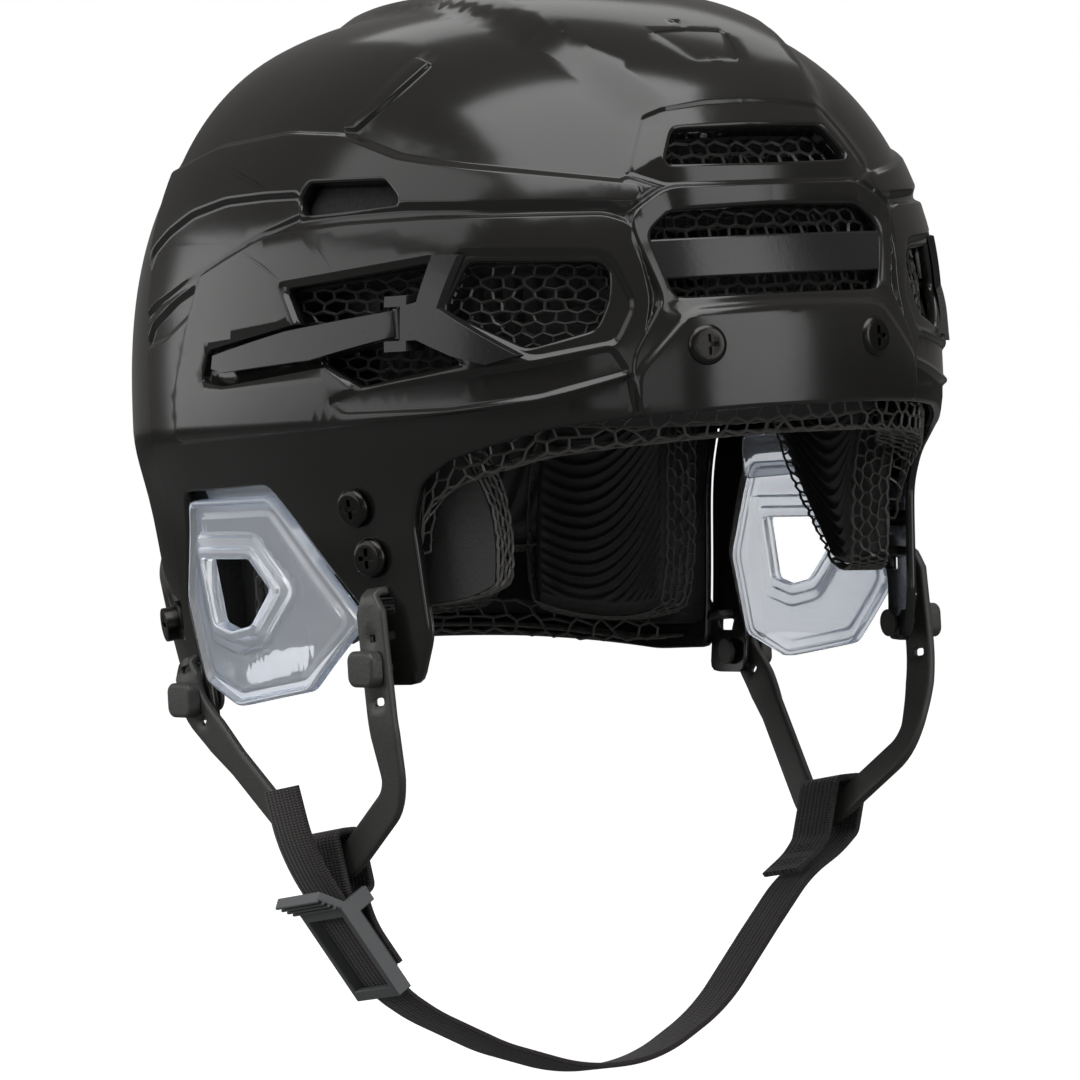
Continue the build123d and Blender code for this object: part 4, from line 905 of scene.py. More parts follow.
def patch(corners, across, down, round_share):
    """Places of a four-sided patch at shares from -1 to 1 across and down it, its corners drawn in."""
    corners = np.array(corners, float)
    u = (across * np.sqrt(1.0 - round_share * down**2 * across**2) + 1) / 2.0
    v = (down * np.sqrt(1.0 - round_share * across**2 * down**2) + 1) / 2.0
    flat = ((1 - u) * (1 - v))[..., None] * corners[0] + (u * (1 - v))[..., None] * corners[1]
    return flat + (u * v)[..., None] * corners[2] + ((1 - u) * v)[..., None] * corners[3]


def cushion(name, kind, corners, depth, thickness, ribs, material, count=(90, 70), round_share=0.25,
            edge_share=0.14, rib_height=1.3):
    """Crowned cushion on the inside of the skin: a rounded four-sided patch, domed, with flowing ribs.

    Over the patch's two shares the thickness is the edge's quarter round times the crown, plus a wave
    along the flow, which fades out before the edge."""
    across, down = np.meshgrid(*(np.linspace(-1, 1, number) for number in count), indexing="ij")
    near = 1.0 - np.maximum(np.abs(across), np.abs(down))
    rise = np.sqrt(np.clip(1.0 - (1.0 - np.clip(near / edge_share, 0.0, 1.0)) ** 2, 0.0, 1.0))
    crown = 0.86 + 0.14 * np.cos(across * math.pi / 2.0) * np.cos(down * math.pi / 2.0)
    fade = np.clip((near - edge_share * 0.7) / edge_share, 0.0, 1.0)
    wave = np.abs(np.cos(math.pi * ribs(across, down))) ** 3
    high = thickness * rise * crown - rib_height * fade * (1.0 - wave)
    base = LIFTS[kind](patch(corners, across, down, round_share).reshape(-1, 2), depth)
    normals = outward(base, depth)
    face = base - normals * high.reshape(-1)[:, None]
    total = count[0] * count[1]
    index = np.arange(total).reshape(count)
    front = np.stack((index[:-1, :-1], index[1:, :-1], index[1:, 1:], index[:-1, 1:]), axis=-1).reshape(-1, 4)
    inside = np.zeros(count, bool)
    inside[1:-1, 1:-1] = True
    inside = inside.reshape(-1)
    back = np.where(inside, total + np.cumsum(inside) - 1, np.arange(total))
    points = np.concatenate((face, base[inside]))
    faces = np.concatenate((front, back[front][:, ::-1]))
    middle = points[front[len(front) // 2]]
    turned = np.cross(middle[1] - middle[0], middle[3] - middle[0]) @ normals[front[len(front) // 2][0]]
    if turned > 0:
        faces = faces[:, ::-1]
    return mesh_object(name, points, faces, material, smooth=50.0)


def wall_net(name, kind, corners, depth, thickness, cell, strut, material, seed, round_share=0.25):
    """Lattice round a cushion's side wall: six-sided cells on a strip that follows the cushion's outline."""
    turns = np.linspace(0.0, 8.0, 1601)[:-1]
    side = np.floor(turns / 2.0).astype(int)
    share = turns % 2.0 - 1.0
    one, sides = np.ones_like(share), [side == 0, side == 1, side == 2]
    across, down = np.select(sides, [share, one, -share], -one), np.select(sides, [-one, share, one], -share)
    line = LIFTS[kind](patch(corners, across, down, round_share), depth)
    closed = np.concatenate((line, line[:1]))
    lengths = lengths_along(closed)
    wide, tall = cell
    columns, rows = max(6, round(lengths[-1] / wide)), max(2, round(thickness / (0.75 * tall)))
    wide, tall = lengths[-1] / columns, thickness / (0.75 * rows + 0.25)
    column, row = (table.ravel() for table in np.meshgrid(np.arange(columns), np.arange(rows)))
    middles = np.column_stack(((column + 0.5 * (row % 2)) * wide, (row * 0.75 + 0.5) * tall))
    spots = (middles[:, None] + (HEXAGON * (wide, tall))[None]).reshape(-1, 2)
    spots[:, 0] %= lengths[-1]
    spots[np.abs(spots[:, 0] - lengths[-1]) < 1e-6 * wide, 0] = 0.0
    half_cells, eighths = np.round(spots[:, 0] / wide * 2.0), np.round(spots[:, 1] / tall * 8.0)
    keys = np.column_stack((half_cells % (2 * columns), eighths))
    _, first, index = np.unique(keys, axis=0, return_index=True, return_inverse=True)
    rng = np.random.default_rng(seed)
    merged = spots[first] + rng.uniform(-0.13, 0.13, (len(first), 2)) * (wide, tall)
    base = read_at(merged[:, 0] % lengths[-1], lengths, closed)
    points = base - outward(base, depth) * np.clip(merged[:, 1], 0.3, thickness - 0.3)[:, None]
    return net_object(name, points, index, strut, material)


# ---- outlines of this helmet ----

# Share tables of the CAD source: (share of the reach, share of the crown rise or skirt)
FRONT_SHELL_SHARES = (
    (0.16, -1.07), (0.16, -0.93), (0.22, -0.61), (0.155, -0.235), (-0.20, -0.215), (-0.445, -0.68),
    (-0.45, -0.92), (-0.545, -0.92), (-0.58, -0.75), (-0.57, -0.35), (-0.60, -0.235), (-0.675, -0.155),
    (-0.845, -0.065), (-1.10, 0.0),
)
REAR_SHELL_SHARES = ((0.43, -1.00), (0.70, -0.92), (1.10, -0.82))
GUARD_SHARES = (
    (0.135, -0.265), (-0.195, -0.255), (-0.43, -0.695), (-0.255, -0.94), (0.0, -1.0), (0.15, -0.915),
    (0.205, -0.61),
)
GUARD_HOLE_SHARES = (
    (0.088, -0.47), (-0.105, -0.47), (-0.173, -0.58), (-0.093, -0.705), (-0.012, -0.728), (0.056, -0.70),
)
LOOP_SLOT_SHARES = ((0.22, -0.885), (-0.478, -0.64))

# Outlines in the photograph's frame, near side
WINDOW_FRONT = ((467, 262), (600, 262), (610, 272), (609, 300), (597, 329), (527, 349), (443, 311))
WINDOW_REAR = ((287, 290), (431, 264), (418, 303), (302, 330))
WINDOW_LOW = ((319, 360), (415, 336), (461, 363), (360, 387))
UPPER_SLOT = ((312, 185), (388, 182), (400, 198), (400, 205), (305, 216), (302, 204))
BROW_WINDOW = ((650, 237), (653, 227), (671, 210), (800, 202), (800, 291), (684, 297), (675, 295))
TOP_VENT = ((663, 167), (670, 136), (676, 133), (800, 127), (800, 164))
SPINE = (
    (-38, -98.5), (-42, -81), (-40, -53), (-37, -20), (-34, 20), (-30, 60), (-27, 80), (-24, 92), (20, 92),
    (20, -99)
)
SPINE_FRONT = (
    (522, 38), (568, 64), (604, 90), (637, 118), (627, 175), (665, 189), (810, 184), (790, 100), (740, 50),
    (650, 15)
)
VENT_FRAME = ((640, 118), (700, 108), (733, 106), (810, 108), (810, 182), (665, 187), (627, 175))
CORNER_FACET = ((627, 175), (590, 193), (595, 203), (620, 215), (631, 212), (665, 187))
FRONT_FRAME = ((630, 212), (665, 187), (810, 181), (810, 420), (702, 412), (640, 420), (630, 377), (632, 353),
               (660, 303), (657, 290), (628, 227))
BROW_SLOPE = ((646, 237), (649, 225), (668, 206), (810, 198), (810, 296), (683, 302), (672, 300))
BROW_PANEL = ((692, 313), (810, 303), (810, 430), (640, 430), (641, 373))
UPPER_BAND = (
    (150, 200), (172, 176), (222, 150), (292, 136), (345, 138), (400, 160), (461, 169), (640, 186),
    (640, 203), (405, 205), (345, 210), (300, 216), (257, 237), (226, 257), (184, 284), (153, 307),
    (140, 330), (110, 330), (125, 240)
)
LOWER_BAND = (
    (304, 193), (269, 195), (230, 200), (196, 213), (173, 231), (157, 250), (140, 304), (142, 332),
    (157, 312), (186, 289), (203, 277), (228, 261), (259, 242), (302, 224), (306, 209)
)
MAIN_PANEL = (
    (203, 275), (226, 259), (259, 240), (300, 232), (345, 226), (430, 220), (606, 216), (634, 226),
    (650, 300), (640, 372), (540, 402), (350, 424), (179, 441), (177, 394), (188, 333)
)
FLUTE = ((196, 284), (176, 298), (152, 324), (144, 352), (166, 340), (188, 318))
LOCK_RECESS = ((206, 381), (212, 351), (300, 325), (410, 297), (437, 306), (437, 330), (330, 366), (226, 386))
DOME_BAR = ((345, 131), (358, 131), (431, 66), (418, 60))
FRONT_RECESS = ((459, 250), (598, 250), (613, 257), (637, 305), (619, 345), (532, 362), (432, 316))
REAR_RECESS = ((281, 284), (437, 256), (423, 306), (300, 336))
LOW_RECESS = ((314, 355), (418, 331), (470, 366), (356, 393))
LOWER_GROOVE = (
    (331, 401), (352, 391), (525, 365), (612, 347), (629, 373), (540, 397), (450, 410), (345, 414)
)
TOP_MARK = ((650, 42), (690, 70), (737, 67), (700, 37))

# Openings in millimetres along Y or X and in height: the lock tab's slot, and the liners' cells for hardware
LOCK_SLOT = ((-43, -74.8), (-17, -74.8), (-17, -70.4), (-43, -70.4))
RACK_CHANNEL = ((-79.0, -77.0), (LINER_END_Y - 2.0, -77.0), (LINER_END_Y - 2.0, -68.0), (-79.0, -68.0))
FRONT_NUT_CELL = ((-37.0, -87.0), (-17.0, -87.0), (-17.0, -67.0), (-37.0, -67.0))
REAR_NUT_CELL = ((46.0, -158.0), (62.5, -158.0), (62.5, -142.0), (46.0, -142.0))

# A height above the crown and a share past the reach, where the parts' side outlines close
ABOVE = 70.0
PAST_END = 1.1

# Shares of the rear shell and of the liners and pads
REAR_VENT_SHARES = (
    ((0.16, 0.80), (0.50, 0.74), (0.52, 0.68), (0.16, 0.72)),
    ((0.22, 0.50), (0.62, 0.44), (0.66, 0.34), (0.22, 0.38)),
    ((0.30, 0.10), (0.62, 0.06), (0.60, -0.06), (0.30, 0.0)),
)
REAR_PANEL_SHARES = ((-0.05, 0.90), (0.56, 0.86), (0.74, 0.30), (0.70, -0.20), (-0.05, -0.14))
REAR_BAND_SHARES = ((-0.05, -0.34), (0.60, -0.40), (0.86, -0.62), (0.98, -1.2), (-0.05, -1.2))
FRONT_LINER_SHARES = ((-0.44, -0.10), (-0.80, 0.0), (-1.10, 0.05))
REAR_LINER_SHARES = ((0.43, -0.93), (0.70, -0.86), (1.10, -0.77))
BROW_WINDOW_SHARES = ((0.298, 0.434), (0.423, 0.38), (0.351, 0.243))
TOP_VENT_SHARES = ((0.231, 0.613), (0.293, 0.538))
TEMPLE_PAD_SHARES = ((-0.06, -0.05), (-0.64, -0.05), (-0.66, -0.62), (-0.44, -0.66))
REAR_SIDE_PAD_SHARES = ((0.62, -0.02), (0.16, -0.02), (0.17, -0.84), (0.60, -0.84))
SIDE_PAD_SHARES = ((0.10, 0.0), (0.10, 0.42), (-0.42, 0.42), (-0.42, -0.02))
FRONT_PAD_SHARES = ((0.60, 0.24), (0.60, -0.08))
CROWN_PAD_SHARES = (0.34, 0.17)
REAR_PAD_SHARES = ((0.10, 0.50), (0.74, 0.50), (0.77, -0.56), (0.10, -0.56))
OCCIPITAL_SHARES = ((0.46, -0.60), (0.40, -0.79))

# Depths below the skin and thicknesses of the CAD solids
FRONT_WALL = 3.0
REAR_DEPTH = 3.4
REAR_WALL = 2.8
TONGUE_LENGTH = 16.4
TONGUE_SKIRT = 10.0
LINER_DEPTH = 3.4
REAR_LINER_DEPTH = 6.6
LINER_THICKNESS = 14.0
LINER_PITCH = 3.5
FRONT_PAD_DEPTH = 17.8
REAR_PAD_DEPTH = 21.0
TEMPLE_PAD_DEPTH = 10.6

# CAD nodes shown with rounded edges: node, finish and edge radius
HARDWARE = (
    ("tab_bracket_right", "trim", 0.6), ("tab_bracket_left", "trim", 0.6),
    ("lock_tab_right", "trim", 0.6), ("lock_tab_left", "trim", 0.6),
    ("front_plate", "trim", 0.6), ("chin_buckle", "buckle", 0.35), ("strap_buttons", "rubber", 0.3),
    ("side_screws", "steel", 0.25), ("front_screws", "steel", 0.25), ("rear_screws", "steel", 0.25),
)
# CAD nodes that stay as they are
PLAIN_NODES = (
    ("size_rack_right", "trim"), ("size_rack_left", "trim"), ("tab_pins", "steel"), ("side_t_nuts", "nut"),
    ("front_t_nuts", "nut"), ("rear_t_nuts", "nut"),
)

# Straps, as the CAD source has them
HANG_RIGHT = ((0.912, -0.30), (0.912, 0.42), (0.85, 1.20))
HANG_LEFT = ((0.912, -0.30), (0.912, 0.42), (0.69, 1.20))
LOOP_SHARES = ((0.22, 0.24), (0.205, 0.37), (-0.25, 1.0), (-0.512, 0.67), (-0.478, -0.012))
LOOP_RADII = (14.0, 22.0, 12.0)
LOOP_TOP_SHARE = -0.63
LOOP_DROP = 79.5
LOOP_HANG_RADIUS = 60.0
LOOP_CENTRE_Y = -15.0
LOOP_TOE_IN = 3.3
LOOP_THICKNESS = 2.4
HOOK_BEND = 2.0
HOOK_REACH = 8.0
KEYHOLE = ((-1, -0.7), (-0.6, -1), (0.6, -1), (1, -0.7), (1, 0.7), (0.6, 1), (-0.6, 1), (-1, 0.7))
BUTTON_SHARES = ((0.20, -0.985), (-0.482, -0.855))
BEND_CENTRE = (-33.211, -194.953)
STRAP_DROP = 91.0
STRAP_WIDTH = 19.0
STRAP_THICKNESS = 1.6
STRAP_TILT = 8.0
STRAP_BEND = 60.0
WRAP_TOP = 12.9
WRAP_BOTTOM = 29.5
WRAP_SIDES = (4.0, 5.2)
WRAP_BEND = 2.4
LAYER_GAP = 0.4
BUCKLE_ROD = 1.2
SLEEVE_END = 0.77
SLEEVE_BEND = 0.40
BUCKLE_SHARES = ((-0.899, 0.377), (-0.762, 0.646))
CHIN_SHARES = ((-0.66, 0.735), (-0.46, 0.86), (-0.21, 0.965), (0.02, 0.965), (0.26, 0.83), (0.46, 0.60))
FAR_SHARES = ((0.60, 0.445), (0.715, 0.38))
TAIL_SHARES = ((-0.955, 0.26), (-0.99, 0.15), (-1.01, -0.01))
FOLD_SHARES = ((0.64, 0.37), (0.56, 0.425))

# Ear guard, as the CAD source has it
FLANGE_DEPTH = 5.8
SIDE_SCREW_SHARES = ((-0.448, -0.30), (-0.472, -0.475))
GUARD_FLANGE_SHARES = (
    (0.15, -0.17), (-0.22, -0.15), (-0.49, -0.22), (-0.52, -0.52), (-0.475, -0.565), (-0.30, -0.565),
    (-0.17, -0.32), (0.12, -0.34),
)

# Soft lights: name, azimuth, elevation, distance, width, height and radiance
LIGHTS = (
    ("top", -22.0, 68.0, 1.3, 1.5, 1.2, 3.4),
    ("left wall", -118.0, 9.0, 1.6, 2.6, 0.62, 1.35),
    ("left high", -104.0, 36.0, 1.6, 1.3, 0.7, 1.3),
    ("front strip", 20.0, 10.0, 1.6, 0.75, 1.1, 2.2),
    ("rear strip", 140.0, 42.0, 1.6, 1.2, 0.5, 0.9),
    ("low front", -20.0, -4.0, 1.7, 1.0, 0.35, 0.7),
)


def along(share):
    """Place along Y of a share of the front or the rear reach."""
    return CENTRE_Y + share * (FRONT_REACH if share < 0 else REAR_REACH)


def level(share):
    """Height of a share of the crown rise, or of the skirt depth when negative."""
    return BELT_Z + share * (SKIRT_DEPTH if share < 0 else CROWN_RISE)


def side_places(shares):
    """Side outline in millimetres from its shares."""
    return [(along(y), level(z)) for y, z in shares]


def across_places(shares):
    """Places across the right half, and heights, from their shares."""
    return [(-HALF_WIDTH * x, level(z)) for x, z in shares]


def even_places(shares):
    """Corners on both halves: those of the right one and their mirror images."""
    right = across_places(shares)
    return right + [(-x, z) for x, z in reversed(right)]


def half_region(seam, shares, end, corner, pitch=LINE_PITCH):
    """Side outline of a front or rear part: down its seam, along its shares and back above the crown."""
    places = [(seam, ABOVE), (seam, level(shares[0][1]))] + side_places(shares)
    return Outline("side", places + [(along(end), ABOVE)], corner, pitch)


def front_region():
    """Outline of the front shell, as the CAD source cuts it, with the corners rounded."""
    return half_region(SEAM_Y, FRONT_SHELL_SHARES, -PAST_END, 3.5)


def rear_region():
    """Outline of the rear shell, as the CAD source cuts it."""
    return half_region(REAR_SEAM_Y, REAR_SHELL_SHARES, PAST_END, 3.5)


def shell_reliefs():
    """Raised and sunk areas of the front shell."""
    return [
        Relief("top", SPINE, 3.2, out=1.0, into=6.9, corner=2.5, merges=True),
        Relief("photo", SPINE_FRONT, 3.2, out=1.0, into=6.9, corner=2.5, merges=True),
        Relief("photo", VENT_FRAME, -0.7, out=0.3, into=1.4),
        Relief("photo", CORNER_FACET, 1.4, out=0.6, into=2.2, merges=True),
        Relief("photo", FRONT_FRAME, 2.0, out=1.4, into=1.4, corner=4.0, merges=True),
        Relief("photo", BROW_SLOPE, -1.8, out=4.4, into=0.3),
        Relief("photo", BROW_PANEL, 1.1, out=2.2, into=0.4, corner=2.5),
        Relief("photo", UPPER_BAND, 1.7, out=2.2, into=0.9, corner=3.0, merges=True),
        Relief("photo", LOWER_BAND, -1.3, out=0.6, into=2.4, corner=3.0),
        Relief("photo", MAIN_PANEL, 1.5, out=1.4, into=0.5, corner=3.0, merges=True),
        Relief("photo", FLUTE, -1.2, out=0.5, into=2.0, corner=2.0),
        Relief("photo", DOME_BAR, 1.5, out=0.8, into=0.5, corner=1.0),
        Relief("photo", FRONT_RECESS, -1.3, out=0.6, into=2.0, corner=3.0),
        Relief("photo", REAR_RECESS, -1.0, out=0.5, into=1.3, corner=2.0),
        Relief("photo", LOW_RECESS, -1.0, out=0.5, into=1.3, corner=2.0),
        Relief("photo", LOCK_RECESS, -2.6, out=0.3, into=0.5, corner=1.5),
        Relief("photo", LOWER_GROOVE, -1.2, out=0.9, into=1.2, corner=2.0),
        Relief("photo", TOP_MARK, -0.45, out=0.3, into=0.3, corner=1.5),
    ]


def box_places(y, z, half_y, half_z):
    """Corners of a box about a middle."""
    return [
        (y - half_y, z - half_z), (y + half_y, z - half_z), (y + half_y, z + half_z), (y - half_y, z + half_z)
    ]


def shell_holes():
    """Windows, vents and slots of the front shell."""
    holes = [Outline("photo", places, corner) for places, corner in (
        (WINDOW_FRONT, 2.5), (WINDOW_REAR, 2.0), (WINDOW_LOW, 2.0), (UPPER_SLOT, 1.5), (BROW_WINDOW, 2.5),
        (TOP_VENT, 2.5))]
    slots = [box_places(along(y), level(z), 4.3, 1.8) for y, z in LOOP_SLOT_SHARES]
    holes += [Outline("side", places, 0.8, 1.2) for places in slots]
    holes.append(Outline("side", LOCK_SLOT, 0.8, 1.5))
    return holes


def make_front_shell():
    """Front shell."""
    region, holes, reliefs = front_region(), shell_holes(), shell_reliefs()
    skin = skin_piece("front_shell_skin", region, holes, reliefs, 0.0, FRONT_WALL, finish("shell"))
    dress(skin, "front_part", "black_shell", "front_shell")


def dress(piece, body, slot, *nodes, fill=None):
    """A finished piece rides its body and stands for its CAD nodes; its slot is not used."""
    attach(piece, body)
    if nodes:
        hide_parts(*nodes)


def dress_both(right, left_name, body, slot, right_node=None, left_node=None):
    """A right-hand piece and its mirror image, each dressed for its side."""
    dress(right, body, slot, *([right_node] if right_node else []))
    dress(mirror_piece(right, left_name), body, slot, *([left_node] if left_node else []))


def make_rear_shell():
    """Rear shell and the tongue that slides inside the front shell."""
    vents = [across_places(shares) for shares in REAR_VENT_SHARES]
    reliefs = [
        Relief("top", SPINE, 3.2, out=1.0, into=6.9, corner=2.5),
        Relief("rear", across_places(REAR_PANEL_SHARES), 1.4, out=1.2, into=1.2, corner=5.0),
        Relief("rear", across_places(REAR_BAND_SHARES), 1.6, out=1.2, into=1.0, corner=4.0),
    ]
    reliefs += [Relief("rear", grown(places, 4.5), -1.2, out=0.5, into=1.6, corner=3.0) for places in vents]
    holes = [Outline("rear", places, 2.0) for places in vents]
    region = rear_region()
    skin = skin_piece("rear_shell_skin", region, holes, reliefs, REAR_DEPTH, REAR_WALL, finish("shell"))
    dress(join("rear_shell_skin", [skin, tongue()]), "rear_part", "black_shell", "rear_shell")


def tongue(count=181):
    """Straight tongue: the rear shell's front edge carried forwards, from the belt over the crown."""
    turns = np.linspace(0.0, math.pi, count)
    origins = np.repeat(np.array([[0.0, REAR_SEAM_Y, BELT_Z]]), count, axis=0)
    ways = np.column_stack((-np.cos(turns), np.zeros(count), np.sin(turns)))
    rows = []
    for depth in (REAR_DEPTH, REAR_DEPTH + REAR_WALL):
        line = cast(origins, ways, 20.0, 200.0, depth, 2)
        feet = line[[0, -1]]
        feet[:, 2] = BELT_Z - TONGUE_SKIRT
        rows.append(np.concatenate((feet[:1], line, feet[1:])))
    ring = np.concatenate((rows[0], rows[1][::-1]))
    size = len(ring)
    here = np.arange(size)
    beside = np.roll(here, -1)
    faces = np.column_stack((here, beside, beside + size, here + size)).tolist()
    for i in range(size // 2 - 1):
        a, b, c, d = i, i + 1, size - 2 - i, size - 1 - i
        faces += [[a, d, c, b], [a + size, b + size, c + size, d + size]]
    points = np.concatenate((ring, ring - np.array((0.0, TONGUE_LENGTH, 0.0))))
    return mesh_object("tongue", points, faces, finish("shell"))


def liner(name, body, region, cavities, depth):
    """Energy liner of one part: foam of even thickness with open cells."""
    material = finish("foam")
    foam = skin_piece(name + "_foam", region, cavities, [], depth, LINER_THICKNESS, material, 1.5, pitch=6.0)
    dress(foam, body, "liner_foam", name, fill=1.0)


def make_liners():
    """Energy liners with open cells behind the windows and the vents."""
    windows = WINDOW_FRONT, WINDOW_REAR, WINDOW_LOW, TOP_VENT
    cavities = [("photo", grown(places, 5.0), 3.0) for places in windows]
    cavities += [("photo", grown(BROW_WINDOW, 4.0), 3.0)]
    cavities += [("side", RACK_CHANNEL, 1.0), ("front", FRONT_NUT_CELL, 4.0)]
    cavities = [Outline(*cavity, LINER_PITCH) for cavity in cavities]
    region = half_region(LINER_END_Y, FRONT_LINER_SHARES, -PAST_END, 4.0, LINER_PITCH)
    liner("front_liner", "front_part", region, cavities, LINER_DEPTH)
    cavities = [("rear", grown(across_places(shares), 1.5), 3.0) for shares in REAR_VENT_SHARES]
    cavities = [Outline(*cavity, LINER_PITCH) for cavity in cavities + [("side", REAR_NUT_CELL, 4.0)]]
    region = half_region(REAR_SEAM_Y, REAR_LINER_SHARES, PAST_END, 4.0, LINER_PITCH)
    liner("rear_liner", "rear_part", region, cavities, REAR_LINER_DEPTH)


def make_window_lattices():
    """Printed lattices behind the windows, in two layers, and behind the rear vents in one."""
    nets = []
    for number, (places, cell) in enumerate(((WINDOW_FRONT, (21.0, 15.5)), (WINDOW_REAR, (21.0, 14.5)),
                                             (WINDOW_LOW, (21.0, 14.5)), (UPPER_SLOT, (20.0, 13.0)))):
        for layer, (depth, strut) in enumerate(((5.0, 1.05), (9.5, 0.9))):
            seed = 10 * number + layer
            nets.append(hex_net("net", "photo", places, cell, depth, strut, finish("window"), seed, 14.0))
    dress_both(join("side_lattice_right", nets), "side_lattice_left", "front_part", "liner_foam")
    nets = []
    for number, shares in enumerate((BROW_WINDOW_SHARES, TOP_VENT_SHARES)):
        for layer, (depth, strut) in enumerate(((4.4, 1.2), (9.0, 1.1))):
            places, seed = even_places(shares), 50 + 10 * number + layer
            net = hex_net("net", "front", places, (6.0, 4.4), depth, strut, finish("window"), seed, 5.0)
            nets.append(net)
    dress(join("front_lattice", nets), "front_part", "liner_foam")
    nets = []
    for number, shares in enumerate(REAR_VENT_SHARES):
        places, seed = across_places(shares), 80 + number
        nets.append(hex_net("net", "rear", places, (6.2, 4.6), 8.0, 1.2, finish("window"), seed, 4.0))
    dress_both(join("rear_lattice_right", nets), "rear_lattice_left", "rear_part", "liner_foam")


def flow(bend, count, lean=0.0):
    """Ribs along a cushion: half their count times (down + bend * across squared + lean * across)."""
    return lambda across, down: count / 2.0 * (down + bend * across**2 + lean * across)


def flow_across(bend, count, lean=0.0):
    """Ribs down a cushion: half their count times (across + bend * down squared + lean * down)."""
    return lambda across, down: count / 2.0 * (across + bend * down**2 + lean * down)


def padding(kind, corners, depth, thickness, ribs, count, cell, strut, seed, names=("pad", "net")):
    """A cushion with a ribbed face, and the lattice round its wall."""
    pad = cushion(names[0], kind, corners, depth, thickness, ribs, finish("pad"), count)
    corners, height = grown(corners, 0.6), thickness * 0.9
    return pad, wall_net(names[1], kind, corners, depth, height, cell, strut, finish("lattice"), seed)


def dress_pads(right, net, stem, body, node):
    """Right-hand cushion and lattice and their mirror images, each dressed for its side."""
    left, left_net = mirror_piece(right, stem + "_left_cushion"), mirror_piece(net, stem + "_left_lattice")
    for piece, lattice, side in ((right, net, "right"), (left, left_net, "left")):
        dress(piece, body, "pad_lattice", f"{node}_{side}", fill=0.8)
        dress(lattice, body, "pad_lattice")


def pad_pair(name, shares, depth, thickness, ribs, seed, count=(90, 70), cell=(5.6, 4.6)):
    """Right and left cushions of the front part, seen from the side, and the lattices round their walls."""
    names = name + "_right_cushion", name + "_right_lattice"
    right, net = padding("side", side_places(shares), depth, thickness, ribs, count, cell, 1.0, seed, names)
    dress_pads(right, join(names[1], [net]), name, "front_part", name + "_pad")


def make_pads():
    """Cushions inside the helmet."""
    pad_pair("side", SIDE_PAD_SHARES, FRONT_PAD_DEPTH, 9.0, flow(0.35, 11), 1)
    pad_pair("temple", TEMPLE_PAD_SHARES, TEMPLE_PAD_DEPTH, 12.0, flow(0.9, 13), 2, (110, 90), (4.0, 3.4))
    make_rear_pads()
    for name, kind, shares, depth, ribs, body, seed in (
        ("front_pad", "front", FRONT_PAD_SHARES, FRONT_PAD_DEPTH, flow_across(-0.5, 21), "front_part", 4),
        ("occipital_pad", "rear", OCCIPITAL_SHARES, REAR_PAD_DEPTH, flow(0.3, 5), "rear_part", 5),
    ):
        names = name + "_cushion", name + "_lattice"
        corners = even_places(shares)
        pad, net = padding(kind, corners, depth, 12.0, ribs, (150, 70), (5.6, 4.6), 1.0, seed, names)
        dress(pad, body, "pad_lattice", name, fill=0.8)
        dress(net, body, "pad_lattice")
    corners = box_places(0.0, 0.0, HALF_WIDTH * CROWN_PAD_SHARES[0], FRONT_REACH * CROWN_PAD_SHARES[1])
    pad = cushion("crown_pad_cushion", "top", corners, FRONT_PAD_DEPTH, 9.4, flow(0.2, 9), finish("pad"))
    dress(pad, "front_part", "pad_lattice", "crown_pad", fill=0.8)


def make_rear_pads():
    """Rear pads: a cushion behind the head and one beside it, with lattices round their walls."""
    back = "rear", across_places(REAR_PAD_SHARES), REAR_PAD_DEPTH, 11.0, flow_across(0.4, 13, 0.2), (90, 140)
    beside = "side", side_places(REAR_SIDE_PAD_SHARES), REAR_PAD_DEPTH, 13.0, flow(0.5, 17, 0.35), (110, 140)
    pads, nets = zip(*(padding(*facts, (4.6, 3.8), 0.9, 3) for facts in (back, beside)))
    right, net = join("rear_right_cushion", pads), join("rear_right_lattice", nets)
    dress_pads(right, net, "rear", "rear_part", "rear_pad")


def softened(node, key, radius, angle=32.0):
    """Copy of a CAD node's shape with its points merged, its flat faces made whole and its edges rounded."""
    source = frame["nodes"][node]
    work = bmesh.new()
    work.from_mesh(source.data)
    bmesh.ops.remove_doubles(work, verts=work.verts, dist=0.002 * MM)
    bmesh.ops.dissolve_limit(work, angle_limit=math.radians(0.6), verts=work.verts, edges=work.edges)
    weight = work.edges.layers.float.new("bevel_weight_edge")
    for edge in work.edges:
        sharp = edge.is_manifold and edge.is_convex and edge.calc_face_angle(0.0) > math.radians(angle)
        edge[weight] = 1.0 if sharp else 0.0
    mesh = bpy.data.meshes.new(node + "_shape")
    work.to_mesh(mesh)
    work.free()
    piece = bpy.data.objects.new(node + "_shape", mesh)
    bpy.context.scene.collection.objects.link(piece)
    mesh.materials.clear()
    mesh.materials.append(finish(key))
    mesh.shade_smooth()
    mesh.set_sharp_from_angle(angle=math.radians(angle))
    bevel = piece.modifiers.new("Edges", "BEVEL")
    bevel.width, bevel.segments, bevel.limit_method = radius * MM, 2, "WEIGHT"
    bevel.use_clamp_overlap = True
    body = body_of(source)
    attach(piece, body if isinstance(body, str) else body[0])
    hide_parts(node)
    return piece


def make_hardware():
    """Lock tabs, brackets, plate, buckle, buttons and screws with rounded edges."""
    for node, key, radius in HARDWARE:
        softened(node, key, radius)


def repaint_nodes():
    """Better materials in the slots of the CAD nodes that stay as they are."""
    for node, key in PLAIN_NODES:
        for slot in frame["nodes"][node].material_slots:
            slot.material = finish(key)

def strap_place(shares):
    """Place across the helmet and height of a share of the half width and of the strap's drop."""
    return HALF_WIDTH * shares[0], BEND_CENTRE[1] - shares[1] * STRAP_DROP


